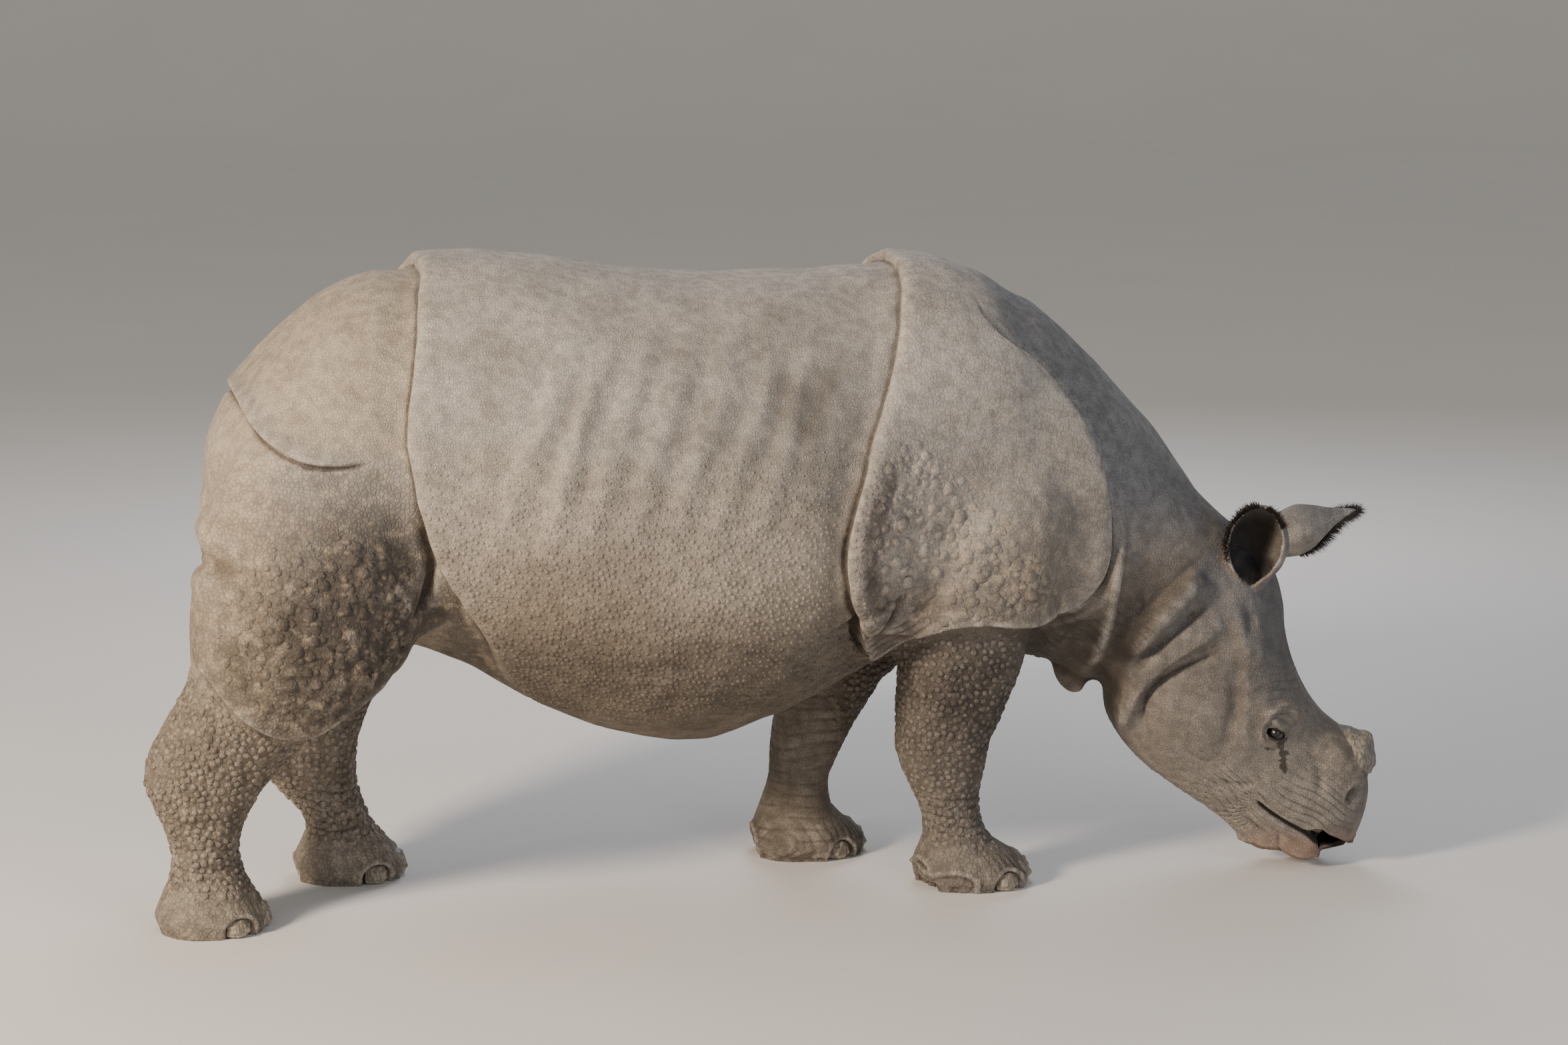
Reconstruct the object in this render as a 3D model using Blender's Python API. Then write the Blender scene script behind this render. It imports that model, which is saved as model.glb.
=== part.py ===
"""A life-size Indian rhinoceros, grazing: a still museum model in closed solids.

Frame: metres, +X towards the head, +Y the animal's left, +Z up, the floor at Z = 0.
The flesh is lofted through pairs of outline points, fused, folded into its plates,
and then parted with thin cuts into the pieces that a person would name.
"""

import math

import bmesh
import bpy
import numpy as np
from mathutils import Matrix, Vector
from mathutils.bvhtree import BVHTree

# Driving dimensions
GAP = 0.0003            # clearance between neighbouring solids
FUSE_VOXEL = 0.009      # cell of the remesh that fuses the lofts
FLAT_JOIN = math.radians(0.4)
FLESH_FACES = 3200      # triangles of the fused body before it is parted
RING_SIDES = 40         # points round each loft
RING_STEPS = 6          # rings between two stations
FOLD_EDGE = 0.012       # half width of the step at the edge of a skin plate
TURN_START = 1.05       # the neck begins to turn to the right here
TURN_END = 1.45         # and from here on the head is turned by the whole angle
TURN_ANGLE = math.radians(18)
EYE_RADIUS = 0.021
EYE_STAND = 0.007       # how far the eyeball stands out of its socket
EYE_PLACE = (1.787, 0.380)
EAR_WALL = 0.009
# Ears: root, the way they point, the way they open, length, girth.
RIGHT_EAR = ((1.715, -0.105, 0.765), (0.10, -0.55, 0.83), (-0.2, -0.85, -0.47), 0.24, 1.08)
LEFT_EAR = ((1.745, 0.105, 0.81), (0.94, 0.22, 0.33), (0.0, 0.6, -0.8), 0.27, 0.9)
NAIL_SIZES = ((0.075, 0.052), (0.105, 0.068), (0.075, 0.052))   # width and height of each nail
NAIL_DEPTH = 0.020      # how deep a nail is set into the toe
NAIL_STAND = 0.009      # how far it stands out
NAIL_LIFT = 0.004        # the nails end just above the floor
NAIL_TURNS = (-62, 0, 62)                                       # degrees round the toe
HIDE = (0.235, 0.205, 0.165)

# ---------------------------------------------------------------- stations
# Each station: (x, z) of the upper or front outline, (x, z) of the lower or rear one,
# half width, and the share of the way up at which the section is widest.
TRUNK = [
    ((-0.935, 1.16), (-0.915, 0.98), 0.12, 0.45),
    ((-0.905, 1.24), (-0.88, 0.86), 0.23, 0.45),
    ((-0.83, 1.35), (-0.82, 0.76), 0.32, 0.48),
    ((-0.72, 1.46), (-0.72, 0.70), 0.38, 0.48),
    ((-0.60, 1.54), (-0.60, 0.67), 0.41, 0.48),
    ((-0.45, 1.585), (-0.45, 0.65), 0.43, 0.46),
    ((-0.30, 1.61), (-0.32, 0.60), 0.46, 0.44),
    ((-0.12, 1.60), (-0.15, 0.50), 0.51, 0.43),
    ((0.06, 1.57), (0.05, 0.415), 0.54, 0.42),
    ((0.25, 1.548), (0.25, 0.385), 0.55, 0.43),
    ((0.45, 1.545), (0.45, 0.43), 0.53, 0.44),
    ((0.62, 1.55), (0.62, 0.51), 0.49, 0.46),
    ((0.78, 1.57), (0.78, 0.58), 0.45, 0.47),
    ((0.92, 1.565), (0.92, 0.60), 0.42, 0.47),
    ((1.05, 1.51), (1.02, 0.59), 0.39, 0.46),
    ((1.15, 1.41), (1.10, 0.62), 0.34, 0.45),
    ((1.22, 1.32), (1.16, 0.68), 0.24, 0.45),
]
NECK = [
    ((0.98, 1.48), (0.92, 0.66), 0.30, 0.45),
    ((1.10, 1.48), (1.02, 0.60), 0.365, 0.45),
    ((1.22, 1.395), (1.12, 0.555), 0.365, 0.45),
    ((1.34, 1.27), (1.20, 0.53), 0.345, 0.45),
    ((1.46, 1.13), (1.27, 0.49), 0.305, 0.45),
    ((1.56, 0.99), (1.31, 0.46), 0.262, 0.45),
    ((1.64, 0.87), (1.345, 0.45), 0.232, 0.45),
    ((1.70, 0.80), (1.38, 0.42), 0.21, 0.45),
]
HEAD = [
    ((1.575, 0.972), (1.33, 0.57), 0.18, 0.45),
    ((1.655, 0.895), (1.325, 0.50), 0.195, 0.45),
    ((1.725, 0.838), (1.34, 0.42), 0.21, 0.45),
    ((1.778, 0.765), (1.38, 0.34), 0.215, 0.48),
    ((1.803, 0.68), (1.44, 0.27), 0.215, 0.52),
    ((1.812, 0.595), (1.525, 0.205), 0.205, 0.57),
    ((1.838, 0.512), (1.605, 0.15), 0.185, 0.60),
    ((1.875, 0.442), (1.665, 0.105), 0.16, 0.58),
    ((1.918, 0.392), (1.715, 0.055), 0.14, 0.52),
    ((1.972, 0.352), (1.772, 0.025), 0.128, 0.50),
    ((2.015, 0.29), (1.83, 0.015), 0.118, 0.48),
    ((2.03, 0.215), (1.875, 0.012), 0.103, 0.46),
    ((2.022, 0.142), (1.915, 0.022), 0.082, 0.46),
    ((2.0, 0.08), (1.955, 0.03), 0.048, 0.50),
]
DEWLAP = [
    ((1.34, 0.64), (1.19, 0.64), 0.05, 0.5, 0.0),
    ((1.342, 0.56), (1.20, 0.56), 0.045, 0.5, 0.0),
    ((1.335, 0.51), (1.208, 0.51), 0.04, 0.5, 0.0),
    ((1.31, 0.475), (1.222, 0.47), 0.034, 0.5, 0.0),
    ((1.275, 0.452), (1.242, 0.452), 0.02, 0.5, 0.0),
]
THROAT_FOLD = [
    ((1.43, 0.60), (1.33, 0.60), 0.06, 0.5, 0.0),
    ((1.41, 0.52), (1.345, 0.52), 0.05, 0.5, 0.0),
    ((1.397, 0.465), (1.355, 0.465), 0.035, 0.5, 0.0),
    ((1.388, 0.438), (1.368, 0.438), 0.016, 0.5, 0.0),
]
# Legs: each station has its front and rear outline points, half width, widest share
# and how far its centre stands out from the median plane.
FORELEG_RIGHT = [
    ((1.10, 1.25), (0.86, 1.25), 0.08, 0.5, 0.20),
    ((1.21, 1.00), (0.76, 1.02), 0.15, 0.5, 0.29),
    ((1.18, 0.80), (0.74, 0.80), 0.155, 0.5, 0.28),
    ((1.09, 0.64), (0.75, 0.64), 0.14, 0.5, 0.26),
    ((1.045, 0.52), (0.75, 0.52), 0.122, 0.5, 0.24),
    ((1.005, 0.42), (0.755, 0.42), 0.108, 0.5, 0.225),
    ((0.985, 0.34), (0.755, 0.34), 0.10, 0.5, 0.21),
    ((0.975, 0.26), (0.785, 0.26), 0.092, 0.5, 0.20),
    ((0.975, 0.18), (0.825, 0.18), 0.086, 0.5, 0.195),
    ((1.00, 0.125), (0.83, 0.125), 0.098, 0.5, 0.19),
    ((1.075, 0.075), (0.805, 0.07), 0.125, 0.5, 0.19),
    ((1.115, 0.035), (0.80, 0.03), 0.135, 0.5, 0.19),
    ((1.09, -0.03), (0.83, -0.03), 0.12, 0.5, 0.19),
]
FORELEG_LEFT = [
    ((1.10, 1.25), (0.86, 1.25), 0.08, 0.5, 0.20),
    ((1.17, 1.00), (0.76, 1.02), 0.15, 0.5, 0.29),
    ((1.12, 0.80), (0.72, 0.80), 0.155, 0.5, 0.28),
    ((1.00, 0.64), (0.68, 0.64), 0.14, 0.5, 0.255),
    ((0.90, 0.53), (0.61, 0.51), 0.122, 0.5, 0.235),
    ((0.80, 0.43), (0.555, 0.41), 0.108, 0.5, 0.22),
    ((0.745, 0.35), (0.525, 0.34), 0.10, 0.5, 0.205),
    ((0.695, 0.26), (0.515, 0.26), 0.092, 0.5, 0.195),
    ((0.665, 0.18), (0.505, 0.18), 0.086, 0.5, 0.19),
    ((0.68, 0.125), (0.485, 0.125), 0.098, 0.5, 0.19),
    ((0.735, 0.075), (0.46, 0.07), 0.125, 0.5, 0.19),
    ((0.765, 0.035), (0.455, 0.03), 0.135, 0.5, 0.19),
    ((0.74, -0.03), (0.485, -0.03), 0.12, 0.5, 0.19),
]
HINDLEG_RIGHT = [
    ((-0.52, 1.33), (-0.75, 1.34), 0.09, 0.5, 0.18),
    ((-0.42, 1.12), (-0.90, 1.14), 0.18, 0.5, 0.24),
    ((-0.41, 0.92), (-0.96, 0.95), 0.20, 0.5, 0.25),
    ((-0.43, 0.76), (-0.985, 0.78), 0.195, 0.5, 0.255),
    ((-0.50, 0.62), (-0.995, 0.65), 0.18, 0.5, 0.25),
    ((-0.62, 0.52), (-1.04, 0.54), 0.155, 0.5, 0.24),
    ((-0.74, 0.445), (-1.095, 0.45), 0.125, 0.5, 0.23),
    ((-0.81, 0.37), (-1.11, 0.37), 0.112, 0.5, 0.225),
    ((-0.86, 0.29), (-1.08, 0.29), 0.10, 0.5, 0.22),
    ((-0.885, 0.22), (-1.055, 0.22), 0.092, 0.5, 0.215),
    ((-0.88, 0.15), (-1.05, 0.15), 0.097, 0.5, 0.215),
    ((-0.85, 0.09), (-1.08, 0.09), 0.12, 0.5, 0.215),
    ((-0.82, 0.04), (-1.10, 0.04), 0.132, 0.5, 0.215),
    ((-0.84, -0.03), (-1.07, -0.03), 0.12, 0.5, 0.215),
]
HINDLEG_LEFT = [
    ((-0.50, 1.33), (-0.73, 1.34), 0.09, 0.5, 0.18),
    ((-0.38, 1.12), (-0.88, 1.14), 0.18, 0.5, 0.24),
    ((-0.34, 0.92), (-0.92, 0.95), 0.20, 0.5, 0.25),
    ((-0.34, 0.76), (-0.93, 0.78), 0.195, 0.5, 0.255),
    ((-0.38, 0.62), (-0.915, 0.65), 0.18, 0.5, 0.25),
    ((-0.45, 0.53), (-0.90, 0.54), 0.155, 0.5, 0.235),
    ((-0.515, 0.45), (-0.88, 0.45), 0.125, 0.5, 0.22),
    ((-0.55, 0.37), (-0.86, 0.37), 0.112, 0.5, 0.21),
    ((-0.56, 0.29), (-0.805, 0.29), 0.10, 0.5, 0.205),
    ((-0.55, 0.22), (-0.74, 0.22), 0.092, 0.5, 0.20),
    ((-0.525, 0.15), (-0.695, 0.15), 0.097, 0.5, 0.20),
    ((-0.48, 0.09), (-0.705, 0.09), 0.12, 0.5, 0.20),
    ((-0.44, 0.04), (-0.73, 0.04), 0.132, 0.5, 0.20),
    ((-0.46, -0.03), (-0.70, -0.03), 0.12, 0.5, 0.20),
]


TAIL = [
    ((-0.80, 1.07), (-0.90, 1.12), 0.050, 0.5, 0.0),
    ((-0.82, 1.00), (-0.935, 1.03), 0.046, 0.5, 0.0),
    ((-0.865, 0.90), (-0.94, 0.90), 0.038, 0.5, 0.0),
    ((-0.88, 0.78), (-0.94, 0.78), 0.031, 0.5, 0.0),
    ((-0.89, 0.66), (-0.943, 0.66), 0.026, 0.5, 0.0),
    ((-0.895, 0.56), (-0.94, 0.56), 0.022, 0.5, 0.0),
]
TAIL_TUFT = [
    ((-0.897, 0.5594), (-0.938, 0.5594), 0.020, 0.5, 0.0),
    ((-0.890, 0.52), (-0.947, 0.52), 0.030, 0.5, 0.0),
    ((-0.885, 0.46), (-0.953, 0.46), 0.034, 0.5, 0.0),
    ((-0.895, 0.40), (-0.947, 0.40), 0.026, 0.5, 0.0),
    ((-0.912, 0.36), (-0.930, 0.36), 0.009, 0.5, 0.0),
]
# ---------------------------------------------------------------- folds
# Side views (x, z) of the plates' edges. The raised plate lies to the left of each line.
SHOULDER_REAR = [
    (0.80, 1.75), (0.775, 1.58), (0.74, 1.48), (0.715, 1.41), (0.69, 1.34), (0.655, 1.25),
    (0.625, 1.18), (0.60, 1.09), (0.575, 1.01), (0.56, 0.93), (0.56, 0.86), (0.575, 0.79),
    (0.61, 0.73), (0.66, 0.67), (0.72, 0.58),
]
SHOULDER_HEM = [
    (0.50, 0.78), (0.61, 0.72), (0.66, 0.70), (0.74, 0.695), (0.87, 0.70), (0.995, 0.695),
    (1.11, 0.695), (1.30, 0.72),
]
SHOULDER_FRONT = [
    (1.10, 0.62), (1.20, 0.70), (1.28, 0.775), (1.325, 0.85), (1.335, 0.93), (1.32, 1.03),
    (1.29, 1.12), (1.23, 1.21), (1.15, 1.30), (1.08, 1.355), (1.02, 1.39), (0.96, 1.45), (0.90, 1.60),
]
SHOULDER_SKIRT = [(0.62, 0.70), (0.635, 0.63), (0.665, 0.605), (0.73, 0.625), (0.80, 0.665), (0.90, 0.70)]
HIP_EDGE = [
    (-0.24, 0.60), (-0.29, 0.70), (-0.34, 0.78), (-0.385, 0.855), (-0.42, 0.92), (-0.445, 0.99),
    (-0.465, 1.06), (-0.475, 1.13), (-0.485, 1.20), (-0.48, 1.27), (-0.465, 1.35), (-0.45, 1.44),
    (-0.435, 1.53), (-0.41, 1.60), (-0.395, 1.72),
]
RUMP_FLAP = [
    (-0.93, 1.36), (-0.87, 1.295), (-0.82, 1.22), (-0.76, 1.18), (-0.70, 1.16), (-0.62, 1.16),
    (-0.55, 1.18),
]
THIGH_HEM = [
    (-1.06, 0.72), (-0.98, 0.67), (-0.92, 0.595), (-0.86, 0.54), (-0.785, 0.50),
    (-0.71, 0.51), (-0.64, 0.55), (-0.57, 0.60), (-0.50, 0.66),
]
BUTTOCK_CREASE = [(-1.03, 0.915), (-0.96, 0.92), (-0.89, 0.90)]
LEFT_HIND_FORWARD = 0.12        # how far the left hind leg's hem lies ahead of the right one's
# Rounded rolls of skin: side view, height, half width.
ROLLS = [
    ([(1.60, 0.80), (1.55, 0.755), (1.49, 0.70), (1.43, 0.635), (1.40, 0.585)], 0.024, 0.024),
    ([(1.69, 0.70), (1.64, 0.675), (1.57, 0.645), (1.49, 0.60), (1.43, 0.535), (1.405, 0.45), (1.42, 0.36)],
     0.026, 0.026),
    ([(1.69, 0.78), (1.705, 0.70), (1.73, 0.62), (1.745, 0.54)], 0.012, 0.035),
    ([(1.735, 0.50), (1.765, 0.44), (1.81, 0.43), (1.855, 0.405)], 0.012, 0.022),
    ([(1.37, 0.90), (1.365, 0.80), (1.345, 0.70), (1.31, 0.60), (1.29, 0.53)], 0.020, 0.024),
]
GROOVES = [
    ([(1.70, 0.59), (1.695, 0.53), (1.685, 0.46), (1.675, 0.39)], 0.014, 0.022),
    ([(1.35, 1.00), (1.345, 0.90), (1.34, 0.80)], 0.010, 0.020),
]
# Broad swellings of the side: x, z, their reach in x and z, height.
SWELLS = [
    (1.55, 0.40, 0.11, 0.12, 0.018),
    (1.79, 0.40, 0.05, 0.05, 0.010),
    (1.74, 0.29, 0.05, 0.06, -0.010),
    (-0.97, 1.00, 0.05, 0.05, 0.020),
    (-0.98, 0.80, 0.06, 0.09, 0.012),
    (-0.75, 0.85, 0.20, 0.25, 0.015),
]

# ---------------------------------------------------------------- lofting
def smooth_stations(stations, steps):
    """The stations with others between them, each number on a smooth curve."""
    rows = np.array([[*s[0], *s[1], *s[2:]] for s in stations], float)
    middle = (rows[:, 0:2] + rows[:, 2:4]) / 2
    along = np.concatenate([[0], np.cumsum(np.linalg.norm(np.diff(middle, axis=0), axis=1))])
    slope = np.gradient(rows, along, axis=0)
    made = []
    for i in range(len(rows) - 1):
        span = along[i + 1] - along[i]
        for t in np.arange(steps) / steps:
            made.append(
                rows[i] * (2 * t**3 - 3 * t**2 + 1)
                + rows[i + 1] * (3 * t**2 - 2 * t**3)
                + slope[i] * span * (t**3 - 2 * t**2 + t)
                + slope[i + 1] * span * (t**3 - t**2)
            )
    made.append(rows[-1])
    return made


def section(row, side, sides):
    """One closed ring of points: a superellipse between the two outline points."""
    high, low = Vector((row[0], 0, row[1])), Vector((row[2], 0, row[3]))
    half_width, widest = row[4], row[5]
    out = row[6] if len(row) > 6 else 0.0
    centre = low.lerp(high, widest) + Vector((0, side * out, 0))
    up, down = high - low.lerp(high, widest), low - low.lerp(high, widest)
    across = Vector((0, 1, 0))
    power = 2 / 2.25
    ring = []
    for k in range(sides):
        angle = 2 * math.pi * k / sides
        c, s = math.cos(angle), math.sin(angle)
        y = math.copysign(abs(c) ** power, c) * half_width
        reach = abs(s) ** power
        ring.append(centre + across * y + (up if s > 0 else down) * reach)
    return ring


def loft(name, stations, side=0, sides=RING_SIDES, steps=RING_STEPS):
    """A closed tube through the stations; side is +1 or -1 for a leg, 0 on the midline."""
    shape = bmesh.new()
    rows = smooth_stations(stations, steps)
    rings = [[shape.verts.new(p) for p in section(row, side, sides)] for row in rows]
    for a, b in zip(rings, rings[1:]):
        for k in range(sides):
            n = (k + 1) % sides
            shape.faces.new((a[k], a[n], b[n], b[k]))
    shape.faces.new(rings[0])
    shape.faces.new(rings[-1])
    bmesh.ops.recalc_face_normals(shape, faces=shape.faces)
    return add(name, shape)


def add(name, shape):
    mesh = bpy.data.meshes.new(name)
    shape.to_mesh(mesh)
    shape.free()
    piece = bpy.data.objects.new(name, mesh)
    bpy.context.scene.collection.objects.link(piece)
    return piece


def evaluated(piece):
    """The piece's mesh with its modifiers applied, in place of the plain one."""
    graph = bpy.context.evaluated_depsgraph_get()
    mesh = bpy.data.meshes.new_from_object(piece.evaluated_get(graph))
    piece.modifiers.clear()
    piece.data = mesh
    return piece


def fuse(name, pieces):
    """One skin round all the lofts."""
    shape = bmesh.new()
    for piece in pieces:
        shape.from_mesh(piece.data)
        bpy.data.objects.remove(piece)
    flesh = add(name, shape)
    remesh = flesh.modifiers.new("fuse", "REMESH")
    remesh.mode = "VOXEL"
    remesh.voxel_size = FUSE_VOXEL
    smooth = flesh.modifiers.new("soften", "SMOOTH")
    smooth.iterations = 12
    return evaluated(flesh)


# ---------------------------------------------------------------- the turned head
def turned(point):
    """Where a point of the straight body lies once the neck and head are turned to the right."""
    x, y, z = point
    run = x - TURN_START
    if run <= 0:
        return point
    bend = TURN_END - TURN_START
    angle = TURN_ANGLE * min(run / bend, 1)
    radius = bend / TURN_ANGLE
    straight = max(run - bend, 0)
    x = TURN_START + radius * math.sin(angle) + straight * math.cos(angle) + y * math.sin(angle)
    across = -radius * (1 - math.cos(angle)) - straight * math.sin(angle) + y * math.cos(angle)
    return Vector((x, across, z))


def turn(piece):
    """Turn a straight piece with the neck and head that it belongs to."""
    for vertex in piece.data.vertices:
        vertex.co = turned(vertex.co)
    return piece


# ---------------------------------------------------------------- relief
def curve_points(points, steps=6):
    """A smooth open curve through the points of a side view."""
    p = np.array([points[0], *points, points[-1]], float)
    t = np.linspace(0, 1, steps, endpoint=False)[:, None]
    made = []
    for a, b, c, d in zip(p, p[1:], p[2:], p[3:]):
        square, cube = 2 * a - 5 * b + 4 * c - d, 3 * b - a - 3 * c + d
        made.append(0.5 * (2 * b + (c - a) * t + square * t**2 + cube * t**3))
    return np.vstack([*made, p[-1:]])


def distance(xz, points):
    """Each point's distance to a curve, positive on its left, and how far along it lies (0 to 1)."""
    curve = curve_points(points)
    start, run = curve[:-1], np.diff(curve, axis=0)
    length = (run**2).sum(1)
    nearest = np.full(len(xz), np.inf)
    side = np.ones(len(xz))
    along = np.zeros(len(xz))
    for i in range(len(start)):
        offset = xz - start[i]
        t = np.clip(offset @ run[i] / length[i], 0, 1)
        away = offset - t[:, None] * run[i]
        far = np.hypot(away[:, 0], away[:, 1])
        closer = far < nearest
        cross = run[i, 0] * offset[:, 1] - run[i, 1] * offset[:, 0]
        nearest[closer] = far[closer]
        side[closer] = np.sign(cross[closer])
        along[closer] = (i + t[closer]) / len(start)
    return nearest * side, along


def ramp(x):
    x = np.clip(x, 0, 1)
    return x * x * (3 - 2 * x)


def edge_profile(s, rise, reach, sink):
    """A raised plate that thins out over reach, with a hollow along the outside of its edge."""
    up = ramp((s + FOLD_EDGE) / (2 * FOLD_EDGE))
    return rise * up * np.exp(-np.maximum(s, 0) / reach) - sink * (1 - up) * np.exp(-((s / 0.05) ** 2))


def plate(xz, points, rise, reach, sink, fade_in, fade_out):
    """A plate along one open edge, which fades over the given shares of its two ends."""
    s, along = distance(xz, points)
    return edge_profile(s, rise, reach, sink) * ramp(along / fade_in) * ramp((1 - along) / fade_out)


def roll(xz, points, rise, width):
    """A rounded roll of skin, or a groove where rise is negative, fading at both ends."""
    s, along = distance(xz, points)
    return rise * np.exp(-((s / width) ** 2)) * ramp(along / 0.2) * ramp((1 - along) / 0.2)


def relief(flesh):
    """Raise the plates and rolls of the skin along its own normals."""
    mesh = flesh.data
    count = len(mesh.vertices)
    place = np.empty(count * 3)
    normal = np.empty(count * 3)
    mesh.vertices.foreach_get("co", place)
    mesh.vertices.foreach_get("normal", normal)
    place, normal = place.reshape(-1, 3), normal.reshape(-1, 3)
    xz = place[:, [0, 2]]
    sideways = ramp(np.abs(normal[:, 1]) * 1.8)
    left = place[:, 1] > 0
    hind = xz.copy()
    hind[left & (xz[:, 1] < 0.85), 0] -= LEFT_HIND_FORWARD
    rear, hem, front = (distance(xz, line)[0] for line in (SHOULDER_REAR, SHOULDER_HEM, SHOULDER_FRONT))
    # The front edge is lower than the others, and it smooths out towards the crest of the neck.
    front = front / (1 + 11 * ramp((xz[:, 1] - 1.18) / 0.24))
    behind = np.minimum(rear, hem)
    edge = ramp((front - behind) / 0.3 + 0.5)
    over_back = np.maximum(sideways, ramp((1.0 - xz[:, 0]) / 0.1))
    rise, sink = 0.016 + 0.014 * edge, 0.010 + 0.006 * edge
    height = edge_profile(np.minimum(behind, front), rise, 0.16, sink) * over_back
    height += plate(xz, SHOULDER_SKIRT, 0.022, 0.06, 0.008, 0.15, 0.15) * sideways
    height += plate(xz, HIP_EDGE[::-1], 0.020, 0.12, 0.020, 0.02, 0.05)
    height += plate(xz, RUMP_FLAP, 0.018, 0.10, 0.010, 0.2, 0.2) * sideways
    height += plate(hind, THIGH_HEM, 0.028, 0.12, 0.012, 0.4, 0.1)
    height += roll(xz, BUTTOCK_CREASE, -0.022, 0.028)
    for points, rise, width in ROLLS:
        height += roll(xz, points, rise, width) * sideways
    for points, depth, width in GROOVES:
        height -= roll(xz, points, depth, width) * sideways
    for x, z, reach_x, reach_z, rise in SWELLS:
        away = ((xz[:, 0] - x) / reach_x) ** 2 + ((xz[:, 1] - z) / reach_z) ** 2
        height += rise * np.exp(-away) * sideways
    mesh.vertices.foreach_set("co", (place + normal * height[:, None]).ravel())
    mesh.update()


def thin_out(flesh):
    """Fewer, larger facets, with the head kept finer than the body."""
    body = flesh.vertex_groups.new(name="body")
    for vertex in flesh.data.vertices:
        x, z = vertex.co.x, vertex.co.z
        head = ramp((x - 1.30) / 0.1) * ramp((1.0 - z) / 0.1)
        body.add([vertex.index], 1.0 - 0.5 * head, "REPLACE")
    fewer = flesh.modifiers.new("facets", "DECIMATE")
    fewer.ratio = FLESH_FACES / (2 * len(flesh.data.polygons))
    fewer.vertex_group = "body"
    fewer.vertex_group_factor = 0.6
    fewer.use_collapse_triangulate = True
    evaluated(flesh)
    flesh.vertex_groups.clear()


def cut_flat(piece, height):
    """Cut the piece off flat at a height above the floor."""
    shape = bmesh.new()
    shape.from_mesh(piece.data)
    everything = shape.verts[:] + shape.edges[:] + shape.faces[:]
    level, up = (0, 0, height), (0, 0, 1)
    cut = bmesh.ops.bisect_plane(shape, geom=everything, plane_co=level, plane_no=up, clear_inner=True)
    rims = [e for e in cut["geom_cut"] if isinstance(e, bmesh.types.BMEdge)]
    bmesh.ops.holes_fill(shape, edges=rims, sides=0)
    bmesh.ops.triangulate(shape, faces=shape.faces)
    shape.to_mesh(piece.data)
    shape.free()


# ---------------------------------------------------------------- parting
# Lines of the side view along which the body is parted
FRONT, BACK, TOP, BELOW, WIDE = 2.6, -1.6, 2.2, -0.2, 0.9
HEAD_LINE = [
    (1.90, 1.30), (1.665, 0.93), (1.60, 0.82), (1.53, 0.72), (1.45, 0.625), (1.402, 0.54),
    (1.385, 0.46), (1.36, 0.38), (1.30, 0.20),
]
MOUTH_UPPER = [
    (FRONT, 0.055), (1.985, 0.052), (1.935, 0.093), (1.895, 0.110), (1.855, 0.127), (1.81, 0.146),
]
MOUTH_BACK = [(1.75, 0.186), (1.66, 0.262), (1.57, 0.33), (1.49, 0.375), (1.25, 0.44)]
MOUTH_LOWER = [
    (1.81, 0.144), (1.855, 0.118), (1.895, 0.095), (1.935, 0.062), (1.985, 0.030), (FRONT, -0.02),
]
THIGH_TOP = [
    (-1.40, 1.60), (-0.96, 1.375), (-0.87, 1.30), (-0.82, 1.225), (-0.76, 1.185), (-0.70, 1.165),
    (-0.62, 1.165), (-0.55, 1.18), (-0.30, 1.24),
]
RIGHT_SKIRT_CUT = [
    (0.55, 0.40), (0.66, 0.575), (0.73, 0.622), (0.80, 0.662), (0.87, 0.69), (0.995, 0.69),
    (1.11, 0.69), (1.24, 0.72),
]
LEFT_SKIRT_CUT = [
    (0.30, 0.36), (0.58, 0.485), (0.65, 0.61), (0.73, 0.64), (0.80, 0.665), (0.87, 0.69),
    (0.995, 0.69), (1.11, 0.69), (1.24, 0.72),
]
HEM_CUT = [
    (-1.30, 0.80), (-1.06, 0.715), (-0.98, 0.665), (-0.92, 0.59), (-0.86, 0.535), (-0.785, 0.495),
    (-0.71, 0.505), (-0.64, 0.545), (-0.57, 0.59), (-0.50, 0.61), (-0.44, 0.56),
]
ANKLE = 0.165
CHEST_SLAB = 0.024      # half width, at floor level, of the slab left between the forelegs
CHEST_LEAN = 0.095      # and how much of its height that slab gains on each side
PELVIS_SLAB = 0.035     # half width of the pelvis left between the thighs


HIP_CUT = [(-0.16, 0.25), (-0.25, 0.50), (-0.29, 0.62), (-0.325, 0.72), (-0.345, 0.78), *HIP_EDGE[3:]]


def prism(name, outline, inner_y, outer_y, lean=0.0):
    """A cutter: an outline of the side view, drawn out from inner_y to outer_y.

    With a lean, the inner face stands further out the higher it is.
    """
    shape = bmesh.new()
    near = [shape.verts.new((x, inner_y + lean * z, z)) for x, z in outline]
    far = [shape.verts.new((x, outer_y, z)) for x, z in outline]
    shape.faces.new(near)
    shape.faces.new(far)
    for i in range(len(outline)):
        n = (i + 1) % len(outline)
        shape.faces.new((near[i], near[n], far[n], far[i]))
    bmesh.ops.recalc_face_normals(shape, faces=shape.faces)
    bmesh.ops.triangulate(shape, faces=shape.faces, quad_method="FIXED", ngon_method="EAR_CLIP")
    return turn(add(name, shape))


def boolean(piece, cutter, operation):
    """The piece cut by, or kept inside, the cutter."""
    change = piece.modifiers.new("cut", "BOOLEAN")
    change.operation = operation
    change.solver = "EXACT"
    change.object = cutter
    evaluated(piece)


def copy_of(piece, name):
    twin = bpy.data.objects.new(name, piece.data.copy())
    bpy.context.scene.collection.objects.link(twin)
    return twin


def grown(piece, name, by):
    """A copy whose surface lies the given distance outside the piece's."""
    twin = copy_of(piece, name)
    for vertex, normal in zip(twin.data.vertices, [v.normal.copy() for v in piece.data.vertices]):
        vertex.co += normal * by
    return twin


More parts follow.
